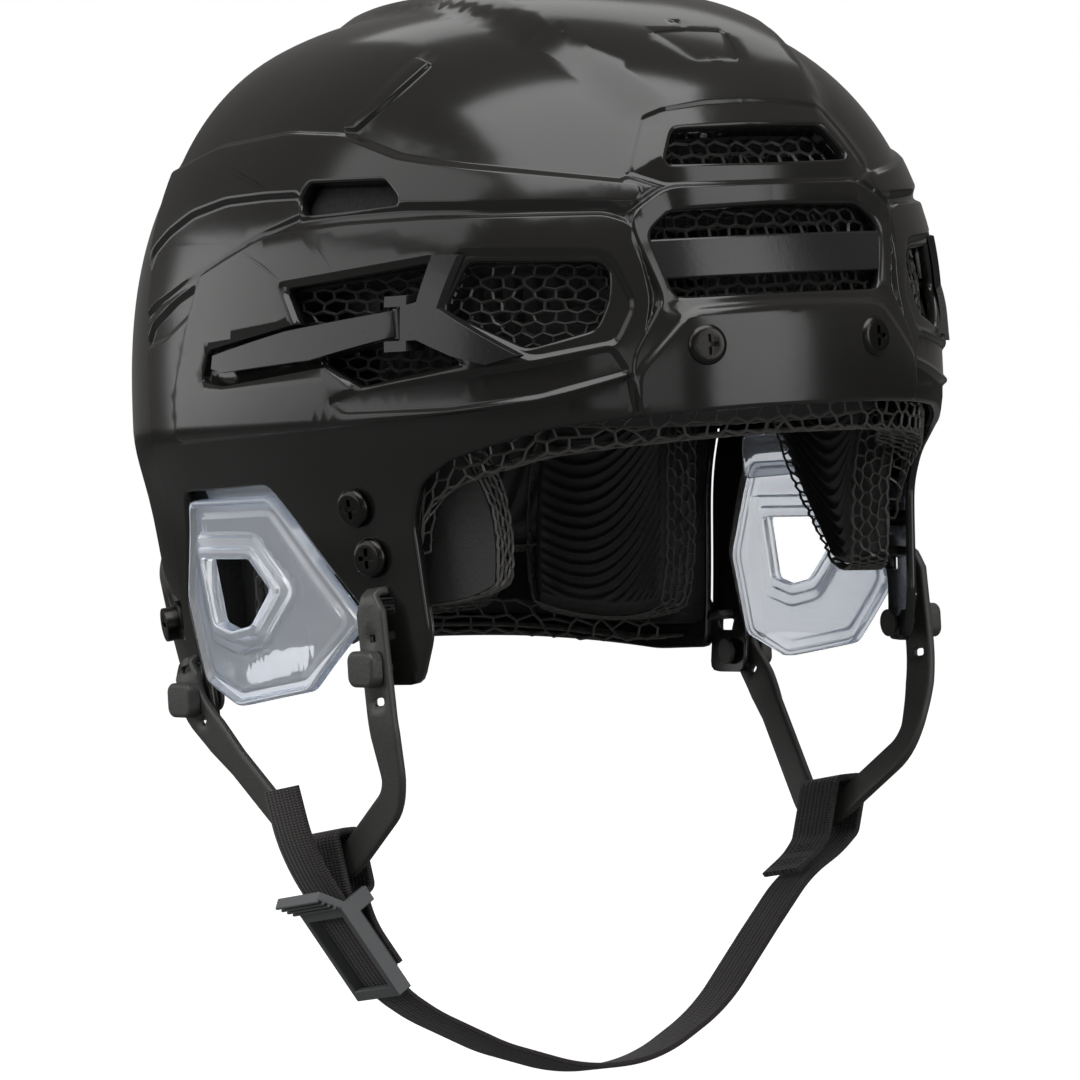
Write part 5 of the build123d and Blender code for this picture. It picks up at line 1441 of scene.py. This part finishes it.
def hang_path(points, pitch):
    """Line through (across, height) points with rounded corners, laid in the strap's leaning plane."""
    flat = arc_line([point[:2] for point in points], fitted_radii(points, STRAP_BEND), pitch)
    drop = flat[:, 1] - BEND_CENTRE[1]
    lean = math.radians(STRAP_TILT)
    y, z = BEND_CENTRE[0] + drop * math.sin(lean), BEND_CENTRE[1] + drop * math.cos(lean)
    return np.column_stack((flat[:, 0], y, z))


def hang_line(shares, pitch=0.5):
    """How far out a loop hangs at each height, as (half width, height) points."""
    points = [(HALF_WIDTH * x, loop_height(z)) for x, z in shares]
    return arc_line(points, fitted_radii(points, LOOP_HANG_RADIUS), pitch)


def loop_height(share):
    """Height of a share of the ear loops' drop."""
    return level(LOOP_TOP_SHARE) - share * LOOP_DROP


def loop_reach(shares, y, z):
    """How far out the right loop's middle is: the hang line at that height, turned in towards the front."""
    line = hang_line(shares)
    order = np.argsort(line[:, 1])
    hang = np.interp(z, line[order, 1], line[order, 0])
    return hang + (y - LOOP_CENTRE_Y) * math.tan(math.radians(LOOP_TOE_IN))


def wrap_points(shares, side, hand):
    """Points of a webbing fold over a loop's band, from its right to its left."""
    low, top = BEND_CENTRE[1] - WRAP_BOTTOM, BEND_CENTRE[1] - WRAP_TOP
    x_low, x_top = (hand * -float(loop_reach(shares, BEND_CENTRE[0], z)) for z in (low, top))
    return [(x_low - side, low, 2.0 * WRAP_BEND), (x_top - side, top, WRAP_BEND),
            (x_top + side, top, WRAP_BEND), (x_low + side, low, 2.0 * WRAP_BEND)]


def buckle_point(down, out):
    """Point at a distance down the buckle's rails and a distance out of its face."""
    top, bottom = (np.array(strap_place(shares)) for shares in BUCKLE_SHARES)
    length = np.linalg.norm(bottom - top)
    way = (bottom - top) / length
    return tuple(top + down * way + out * np.array((way[1], -way[0])))


def buckle_length():
    """Length of the buckle's rails."""
    return math.dist(strap_place(BUCKLE_SHARES[0]), strap_place(BUCKLE_SHARES[1]))


def make_webbings():
    """Chin webbings: woven bands folded over the loops and run through the buckle, with sewn folds."""
    across = np.array((0.0, math.cos(math.radians(STRAP_TILT)), -math.sin(math.radians(STRAP_TILT))))
    long_points = [strap_place(shares) for shares in reversed(FOLD_SHARES)]
    long_points += wrap_points(HANG_LEFT, WRAP_SIDES[1], -1.0)
    long_points += [strap_place(shares) for shares in reversed(CHIN_SHARES + FAR_SHARES)]
    long_points += [buckle_point(buckle_length(), 0.0), buckle_point(0.0, 0.0)]
    long_points += [strap_place(shares) for shares in TAIL_SHARES]
    layer, length = STRAP_THICKNESS + LAYER_GAP, buckle_length() * SLEEVE_END
    reach = BUCKLE_ROD + LAYER_GAP + STRAP_THICKNESS / 2.0
    rod = -1.5 * STRAP_THICKNESS - 2.0 * LAYER_GAP - BUCKLE_ROD
    short_points = [buckle_point(length, -layer), buckle_point(0.0, -layer)]
    short_points += wrap_points(HANG_RIGHT, WRAP_SIDES[0], 1.0)
    short_points.append(buckle_point(0.0, rod - reach))
    short_points += [buckle_point(share * length, -2.0 * layer) for share in (SLEEVE_BEND, 1.0)]
    profile = strap_profile(STRAP_WIDTH, STRAP_THICKNESS, 0.55)
    long_path, short_path = (hang_path(points, 0.8) for points in (long_points, short_points))
    for stem, path in (("chin_webbing", long_path), ("buckle_webbing", short_path)):
        sideways = np.repeat(across[None], len(path), axis=0)
        band = ribbon(stem + "_band", path, sideways, profile, finish("webbing"))
        dress(band, "chin_strap", "webbing", stem)
    seams = ((long_path, 3.0), (long_path, 9.5), (short_path, 3.0))
    stitches = [stitch_rows(path, across, start, 3) for path, start in seams]
    dress(join("strap_stitches", stitches), "chin_strap", "webbing")


def stitch_rows(path, across, start, count, length=1.9, width=0.55, high=0.28):
    """Rows of short threads, each a half tube, across a band's two faces, from a distance along its path."""
    steps = lengths_along(path)
    ahead = np.gradient(path, axis=0)
    turn = np.linspace(0.0, math.pi, 5)
    arch = np.column_stack((np.cos(turn) * width / 2.0, np.sin(turn) * high))
    tapers = (-length / 2.0, 0.3), (-length / 3.0, 1.0), (length / 3.0, 1.0), (length / 2.0, 0.3)
    points, faces = [], []
    for row in range(count):
        at = [start + 1.3 * row]
        place, way = read_at(at, steps, path)[0], read_at(at, steps, ahead)[0]
        way /= np.linalg.norm(way)
        normal = np.cross(way, across)
        for offset in np.arange(-7.6, 7.7, 2.5):
            for side in (-1.0, 1.0):
                middle = place + across * offset + normal * side * (STRAP_THICKNESS / 2.0 - 0.05)
                base = len(points) * 4 * len(turn)
                points.append(np.concatenate([
                    middle + across * reach + way * arch[:, :1] * scale + normal * side * arch[:, 1:] * scale
                    for reach, scale in tapers]))
                for i in range(3):
                    for j in range(4):
                        here = base + 5 * i + j
                        quad = [here, here + 1, here + 6, here + 5]
                        faces.append(quad if side > 0 else quad[::-1])
    return mesh_object("stitches", np.concatenate(points), faces, finish("thread"), 60.0)


def strip(name, path, across, outline, holes, thickness, material, edge=0.8, pitch=1.8):
    """Flat moulded band with holes and rounded edges; its outline is distances along a path and across."""
    dense = []
    for line in (np.array(line, float) for line in (outline, *holes)):
        runs = []
        for a, b in zip(line, np.roll(line, -1, axis=0)):
            count = max(1, math.ceil(np.linalg.norm(b - a) / pitch))
            runs.append(a + (b - a) * (np.arange(count) / count)[:, None])
        dense.append(np.concatenate(runs))
    border = dense[0]
    ahead = unit(np.roll(border, -1, axis=0) - np.roll(border, 1, axis=0))
    inward = np.column_stack((-ahead[:, 1], ahead[:, 0]))
    if even_odd(border + 0.05 * inward, border).mean() <= 0.5:
        inward = -inward
    rings = dense + [border + inset * inward for inset in (0.15 * edge, 0.5 * edge, edge)]
    low, high = border.min(0), border.max(0)
    grid = np.meshgrid(np.arange(low[0], high[0], pitch), np.arange(low[1], high[1], pitch))
    grid = np.stack(grid, axis=-1).reshape(-1, 2)
    near = np.min([flat_distance(grid, line) for line in rings], axis=0)
    grid = grid[even_odd(grid, border) & (near > 0.5 * pitch)]
    spots, triangles = triangulate([grid, *rings], loop_edges(rings, len(grid)), 1e-5)
    middles = spots[triangles].mean(axis=1)
    kept = even_odd(middles, border)
    for hole in dense[1:]:
        kept &= ~even_odd(middles, hole)
    used, triangles = kept_triangles(spots, triangles, kept)
    spots = spots[used]
    steps = lengths_along(path)
    tables = path, across, np.gradient(path, axis=0)
    place, side, way = (read_at(spots[:, 0], steps, table) for table in tables)
    side = unit(side)
    normal = unit(np.cross(way, side))
    gap = np.min([flat_distance(spots, line) for line in dense], axis=0)
    half = (thickness / 2.0 - edge_drop(gap, edge) * 0.9)[:, None]
    middle = place + side * spots[:, 1:]
    points, faces = shell_faces(middle + normal * half, middle - normal * half, triangles)
    return mesh_object(name, points, faces, material, 40.0)


def flat_distance(points, line):
    """Distance of flat points from a closed flat line."""
    deep = np.column_stack((points, np.zeros(len(points))))
    return line_distance(deep, np.column_stack((line, np.zeros(len(line)))))


def loop_band(name, shares):
    """Ear loop, as if on the right, with its hooked ends, keyholes and wider upper legs."""
    corners = [(along(y), loop_height(z)) for y, z in LOOP_SHARES]
    side = arc_line(corners, LOOP_RADII, 0.8)
    route = np.column_stack((-loop_reach(shares, side[:, 0], side[:, 1]), side))
    ahead = unit(np.gradient(route, axis=0))
    step = 0.5
    above, below = (loop_reach(shares, side[:, 0], side[:, 1] + shift) for shift in (step, -step))
    toe_in = np.full(len(side), math.tan(math.radians(LOOP_TOE_IN)))
    out = -np.column_stack((np.ones(len(side)), toe_in, (above - below) / (2 * step)))
    across = unit(np.cross(out, ahead))
    turns = np.linspace(0.0, math.pi / 2.0, 8)[1:, None]
    inward = np.array((1.0, 0.0, 0.0))
    ends = []
    for spot, way in ((route[0], -ahead[0]), (route[-1], ahead[-1])):
        bend = spot + way * (HOOK_BEND * np.sin(turns)) + inward * HOOK_BEND * (1.0 - np.cos(turns))
        ends.append(np.concatenate((bend, bend[-1] + inward * np.linspace(1.0, HOOK_REACH, 6)[:, None])))
    path = np.concatenate((ends[0][::-1], route, ends[1]))
    extra = len(ends[0])
    first, last = (np.repeat(end[None], extra, axis=0) for end in (across[0], across[-1]))
    across = np.concatenate((first, across, last))
    steps = lengths_along(path)
    hook = steps[extra - 1]
    rear = steps[-1] - hook
    half = [(0.0, 3.4), (hook - 0.5, 3.4), (hook + 3.0, 5.9), (hook + 26.0, 5.9), (hook + 38.0, 4.7),
            (rear - 52.0, 4.7), (rear - 38.0, 6.3), (rear - 4.0, 6.3), (rear + 0.5, 3.4), (steps[-1], 3.4)]
    outline = half + [(s, -u) for s, u in reversed(half)]
    keyholes = []
    for share_y, share_z in BUTTON_SHARES:
        spot = np.array((along(share_y), level(share_z)))
        at = steps[extra + int(np.argmin(np.linalg.norm(side - spot, axis=1)))]
        for offset, long in ((-9.0, 2.4), (8.5, 1.4)):
            keyholes.append([(at + offset + a * 1.1, b * long) for a, b in KEYHOLE])
    return strip(name, path, across, outline, keyholes, LOOP_THICKNESS, finish("rubber"))


def make_loops():
    """Ear loops."""
    dress(loop_band("ear_loop_right_band", HANG_RIGHT), "front_part", "strap_rubber", "ear_loop_right")
    left = loop_band("loop", HANG_LEFT)
    copy = mirror_piece(left, "ear_loop_left_band")
    bpy.data.objects.remove(left)
    dress(copy, "front_part", "strap_rubber", "ear_loop_left")


def inset_places(places, inset):
    """Corners of a flat outline drawn in by an even margin, or let out when it is negative."""
    flat = np.array(places, float)
    ahead = unit(np.roll(flat, -1, axis=0) - flat)
    area = (flat[:, 0] * np.roll(flat[:, 1], -1) - np.roll(flat[:, 0], -1) * flat[:, 1]).sum()
    normal = np.column_stack((-ahead[:, 1], ahead[:, 0])) * (1.0 if area > 0 else -1.0)
    before = np.roll(normal, 1, axis=0)
    return flat + (before + normal) * inset / (1.0 + (before * normal).sum(1))[:, None]


def make_guards():
    """Clear ear guards: a stepped plate with a rim, a framed hole and a flange under the shell."""
    outer, hole = side_places(GUARD_SHARES), side_places(GUARD_HOLE_SHARES)
    reliefs = [
        Relief("side", inset_places(outer, 1.6), -1.5, out=0.5, into=0.5, corner=2.0),
        Relief("side", inset_places(outer, 5.0), 0.7, out=1.6, into=0.4, corner=2.0),
        Relief("side", inset_places(hole, -6.5), 0.9, out=0.5, into=0.7, corner=3.0),
        Relief("side", inset_places(hole, -3.0), 1.0, out=0.6, into=0.5, corner=2.0),
    ]
    region, opening = Outline("side", outer, 2.5, 1.6), Outline("side", hole, 1.5, 1.4)
    plate = skin_piece("guard", region, [opening], reliefs, -0.6, 3.4, finish("clear"), 0.7, False, 2.6)
    eighths = np.arange(8) * math.pi / 4
    holes = [Outline("side", [(y + 2.8 * math.cos(t), z + 2.8 * math.sin(t)) for t in eighths], 0.8, 1.0)
             for y, z in side_places(SIDE_SCREW_SHARES)]
    region = Outline("side", side_places(GUARD_FLANGE_SHARES), 2.5, 2.0)
    flange = skin_piece("flange", region, holes, [], FLANGE_DEPTH, 1.4, finish("clear"), 0.5, False, 4.0)
    right = join("ear_guard_right_plate", [plate, flange])
    nodes = "ear_guard_right", "ear_guard_left"
    dress_both(right, "ear_guard_left_plate", "front_part", "clear_guard", *nodes)


def strip_net(line, ways, height, cell, strut, seed):
    """Lattice on an open strip: six-sided cells along a line and away from it."""
    lengths = lengths_along(line)
    wide, tall = cell
    rows = max(1, round((height / tall - 0.25) / 0.75))
    tall = height / (0.75 * rows + 0.25)
    columns = np.arange(int(lengths[-1] / wide))
    column, row = (table.ravel() for table in np.meshgrid(columns, np.arange(rows)))
    middles = np.column_stack(((column + 0.5 + 0.5 * (row % 2)) * wide, (row * 0.75 + 0.5) * tall))
    spots = (middles[:, None] + (HEXAGON * (wide, tall))[None]).reshape(-1, 2)
    keys = np.round(spots / (wide, tall) * (2.0, 8.0))
    _, first, index = np.unique(keys, axis=0, return_index=True, return_inverse=True)
    rng = np.random.default_rng(seed)
    merged = spots[first] + rng.uniform(-0.14, 0.14, (len(first), 2)) * (wide, tall)
    away = read_at(merged[:, 0], lengths, ways) * np.clip(merged[:, 1:], 0.0, height)
    return net_object("net", read_at(merged[:, 0], lengths, line) + away, index, strut, finish("lattice"))


def make_edge_lattices():
    """Lattices along the lower edges of the brow and of the rear liner."""
    rim = front_region().line
    rim = rim[(rim[:, 1] < along(-0.56)) & (rim[:, 2] > level(-0.40)) & (rim[:, 2] < level(0.02))]
    rim = from_map(to_map(rim), 4.6)
    rim = rim[np.argsort(-rim[:, 1])]
    rim = np.concatenate((rim, rim[-1:] * (0.0, 1.0, 1.0)))
    rim[:, 2] += 1.0
    inward = -outward(rim, 0.0)
    down = np.column_stack((inward[:, :2] * 0.12, np.full(len(rim), -0.99)))
    nets = [strip_net(rim, down, 8.5, (6.4, 5.4), 1.0, 21),
            strip_net(rim + down * 8.5, inward, 13.0, (5.6, 5.0), 0.9, 22)]
    dress_both(join("brow_lattice_right", nets), "brow_lattice_left", "front_part", "pad_lattice")
    shares_y, shares_z = zip(*side_places(REAR_LINER_SHARES))
    count = 70
    turns = np.linspace(0.0, math.pi / 2.0, count)
    origins = np.repeat(np.array([[0.0, CENTRE_Y, level(-0.80)]]), count, axis=0)
    ways = np.column_stack((-np.cos(turns), np.sin(turns), np.zeros(count)))
    for _ in range(8):
        edge = cast(origins, ways, 5.0, 160.0, REAR_PAD_DEPTH, 2)
        origins[:, 2] = np.interp(edge[:, 1], shares_y, shares_z)
    edge = edge[edge[:, 1] > SEAM_Y + 1.5]
    inner = -outward(edge, 0.0)
    inner[:, 2] = 0.0
    inner = unit(inner)
    up = np.repeat(np.array([[0.0, 0.0, 1.0]]), len(edge), axis=0)
    low = edge - inner * 13.6
    low[:, 2] = np.interp(low[:, 1], shares_y, shares_z) + 0.8
    nets = [strip_net(edge, up, 11.0, (8.0, 6.2), 1.1, 23), strip_net(low, inner, 13.6, (7.0, 6.0), 1.0, 24)]
    dress_both(join("rear_edge_lattice_right", nets), "rear_edge_lattice_left", "rear_part", "pad_lattice")


def seen_plain(tree, dark, pale):
    """Share of camera and transmission rays, and a colour that is pale to them and dark to others."""
    path = tree.nodes.new("ShaderNodeLightPath")
    plain = maths(tree, "MAXIMUM", path.outputs["Is Camera Ray"], path.outputs["Is Transmission Ray"])
    return plain, mixed_colour(tree, plain, dark, pale)


def make_stage():
    """Pale floor, soft studio lights, pale surroundings and the photographer's camera."""
    scene = bpy.context.scene
    floor = bpy.data.meshes.new("floor")
    reach, low = 12.0, -0.30
    corners = [(-reach, -reach, low), (reach, -reach, low), (reach, reach, low), (-reach, reach, low)]
    floor.from_pydata(corners, [], [(0, 1, 2, 3)])
    ground = bpy.data.objects.new("floor", floor)
    scene.collection.objects.link(ground)
    material, tree, shader = blank("Pale floor", Roughness=0.9)
    plain, colour = seen_plain(tree, (0.16, 0.16, 0.158, 1.0), (0.3, 0.3, 0.3, 1.0))
    shader.inputs["Emission Color"].default_value = (1.0, 1.0, 1.0, 1.0)
    feed(tree, shader, Base_Color=colour, Emission_Strength=maths(tree, "MULTIPLY", plain, 0.95))
    floor.materials.append(material)
    world = bpy.data.worlds.new("Studio")
    scene.world = world
    world.use_nodes = True
    background = world.node_tree.nodes["Background"]
    _, colour = seen_plain(world.node_tree, (0.16, 0.157, 0.152, 1.0), (1.0, 1.0, 1.0, 1.0))
    feed(world.node_tree, background, Color=colour)
    background.inputs["Strength"].default_value = 1.0
    for light in LIGHTS:
        add_light(*light)
    place, right, up, back = camera_axes()
    data = bpy.data.cameras.new("photo")
    data.sensor_width = 36.0
    data.lens = PHOTO_FOCUS / PHOTO_SIZE * data.sensor_width
    data.clip_start, data.clip_end = 0.05, 50.0
    camera = bpy.data.objects.new("photo", data)
    scene.collection.objects.link(camera)
    turn = Matrix([list(row) for row in np.column_stack((right, up, back))]).to_4x4()
    camera.matrix_world = Matrix.Translation(Vector(place * MM)) @ turn
    scene.camera = camera
    scene.view_settings.view_transform = "Standard"


def add_light(name, azimuth, elevation, distance, width, height, radiance):
    """Soft rectangular light that faces the helmet; azimuth 0 is in front of it and -90 on its right."""
    data = bpy.data.lights.new(name, "AREA")
    data.shape, data.size, data.size_y = "RECTANGLE", width, height
    data.energy = radiance * math.pi * width * height
    light = bpy.data.objects.new(name, data)
    bpy.context.scene.collection.objects.link(light)
    turn, lift = math.radians(azimuth), math.radians(elevation)
    way = Vector((math.sin(turn) * math.cos(lift), -math.cos(turn) * math.cos(lift), math.sin(lift)))
    light.location = Vector((0.0, 0.0, -0.08)) + way * distance
    light.rotation_euler = way.to_track_quat("Z", "Y").to_euler()
    light.visible_camera = False


# ---- panel ----


class HelmetColours(PropertyGroup):
    """Base colours of the helmet's finishes."""

    shell: FloatVectorProperty(
        name="Shell", description="Colour of the shell", subtype="COLOR", default=(0.011, 0.0105, 0.01)
    )
    trim: FloatVectorProperty(
        name="Trim", description="Colour of the trim", subtype="COLOR", default=(0.012, 0.012, 0.012)
    )
    foam: FloatVectorProperty(
        name="Liner foam", description="Colour of the liner foam", subtype="COLOR",
        default=(0.012, 0.012, 0.012)
    )
    pad: FloatVectorProperty(
        name="Pads", description="Colour of the pads", subtype="COLOR", default=(0.035, 0.035, 0.035)
    )
    window: FloatVectorProperty(
        name="Window lattice", description="Colour of the window lattice", subtype="COLOR",
        default=(0.035, 0.034, 0.033)
    )
    lattice: FloatVectorProperty(
        name="Lattice", description="Colour of the lattice", subtype="COLOR", default=(0.075, 0.073, 0.07)
    )
    clear: FloatVectorProperty(
        name="Clear guard", description="Colour of the clear guard", subtype="COLOR",
        default=(0.95, 0.955, 0.96)
    )
    clear_edge: FloatVectorProperty(
        name="Guard edge", description="Colour of the guard edge", subtype="COLOR", default=(0.4, 0.58, 0.88)
    )
    rubber: FloatVectorProperty(
        name="Strap rubber", description="Colour of the strap rubber", subtype="COLOR",
        default=(0.04, 0.04, 0.038)
    )
    webbing: FloatVectorProperty(
        name="Webbing", description="Colour of the webbing", subtype="COLOR", default=(0.03, 0.026, 0.026)
    )
    thread: FloatVectorProperty(
        name="Thread", description="Colour of the thread", subtype="COLOR", default=(0.035, 0.033, 0.033)
    )
    buckle: FloatVectorProperty(
        name="Buckle", description="Colour of the buckle", subtype="COLOR", default=(0.085, 0.089, 0.092)
    )
    steel: FloatVectorProperty(
        name="Screws", description="Colour of the screws", subtype="COLOR", default=(0.035, 0.034, 0.033)
    )
    nut: FloatVectorProperty(
        name="Nuts", description="Colour of the nuts", subtype="COLOR", default=(0.5, 0.5, 0.5)
    )


class HELMET_OT_front_shell(Operator):
    """Make the front shell"""

    bl_idname = "helmet.front_shell"
    bl_label = "Front Shell"

    def execute(self, context):
        make_front_shell()
        return {"FINISHED"}


class HELMET_OT_rear_shell(Operator):
    """Make the rear shell and its tongue"""

    bl_idname = "helmet.rear_shell"
    bl_label = "Rear Shell"

    def execute(self, context):
        make_rear_shell()
        return {"FINISHED"}


class HELMET_OT_liners(Operator):
    """Make the energy liners"""

    bl_idname = "helmet.liners"
    bl_label = "Liners"

    def execute(self, context):
        make_liners()
        return {"FINISHED"}


class HELMET_OT_window_lattices(Operator):
    """Make the lattices behind the windows and vents"""

    bl_idname = "helmet.window_lattices"
    bl_label = "Window Lattices"

    def execute(self, context):
        make_window_lattices()
        return {"FINISHED"}


class HELMET_OT_pads(Operator):
    """Make the cushions"""

    bl_idname = "helmet.pads"
    bl_label = "Pads"

    def execute(self, context):
        make_pads()
        return {"FINISHED"}


class HELMET_OT_edge_lattices(Operator):
    """Make the lattices along the lower edges"""

    bl_idname = "helmet.edge_lattices"
    bl_label = "Edge Lattices"

    def execute(self, context):
        make_edge_lattices()
        return {"FINISHED"}


class HELMET_OT_guards(Operator):
    """Make the clear ear guards"""

    bl_idname = "helmet.guards"
    bl_label = "Ear Guards"

    def execute(self, context):
        make_guards()
        return {"FINISHED"}


class HELMET_OT_loops(Operator):
    """Make the ear loops"""

    bl_idname = "helmet.loops"
    bl_label = "Ear Loops"

    def execute(self, context):
        make_loops()
        return {"FINISHED"}


class HELMET_OT_webbings(Operator):
    """Make the chin webbings and their stitches"""

    bl_idname = "helmet.webbings"
    bl_label = "Webbings"

    def execute(self, context):
        make_webbings()
        return {"FINISHED"}


class HELMET_OT_hardware(Operator):
    """Round the edges of the plates, the buckle and the screws"""

    bl_idname = "helmet.hardware"
    bl_label = "Hardware"

    def execute(self, context):
        make_hardware()
        return {"FINISHED"}


class HELMET_OT_materials(Operator):
    """Give the remaining CAD nodes their materials"""

    bl_idname = "helmet.materials"
    bl_label = "Materials"

    def execute(self, context):
        repaint_nodes()
        return {"FINISHED"}


class HELMET_OT_stage(Operator):
    """Make the floor, the lights and the camera"""

    bl_idname = "helmet.stage"
    bl_label = "Stage"

    def execute(self, context):
        make_stage()
        return {"FINISHED"}


OPERATORS = (
    HELMET_OT_front_shell,
    HELMET_OT_rear_shell,
    HELMET_OT_liners,
    HELMET_OT_window_lattices,
    HELMET_OT_pads,
    HELMET_OT_edge_lattices,
    HELMET_OT_guards,
    HELMET_OT_loops,
    HELMET_OT_webbings,
    HELMET_OT_hardware,
    HELMET_OT_materials,
    HELMET_OT_stage,
)


class HELMET_PT_panel(Panel):
    """Buttons that make the helmet's pieces"""

    bl_label = "Helmet"
    bl_idname = "HELMET_PT_panel"
    bl_space_type = "VIEW_3D"
    bl_region_type = "UI"
    bl_category = "Helmet"

    def draw(self, context):
        for operator in OPERATORS:
            self.layout.operator(operator.bl_idname)


CLASSES = (HelmetColours, *OPERATORS, HELMET_PT_panel)


def register():
    for cls in CLASSES:
        bpy.utils.register_class(cls)
    bpy.types.Scene.helmet_colours = PointerProperty(type=HelmetColours)


def unregister():
    del bpy.types.Scene.helmet_colours
    for cls in reversed(CLASSES):
        bpy.utils.unregister_class(cls)


def main():
    """Register the add-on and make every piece."""
    register()
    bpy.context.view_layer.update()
    for operator in OPERATORS:
        group, name = operator.bl_idname.split(".")
        getattr(getattr(bpy.ops, group), name)()


if __name__ == "__main__":
    main()
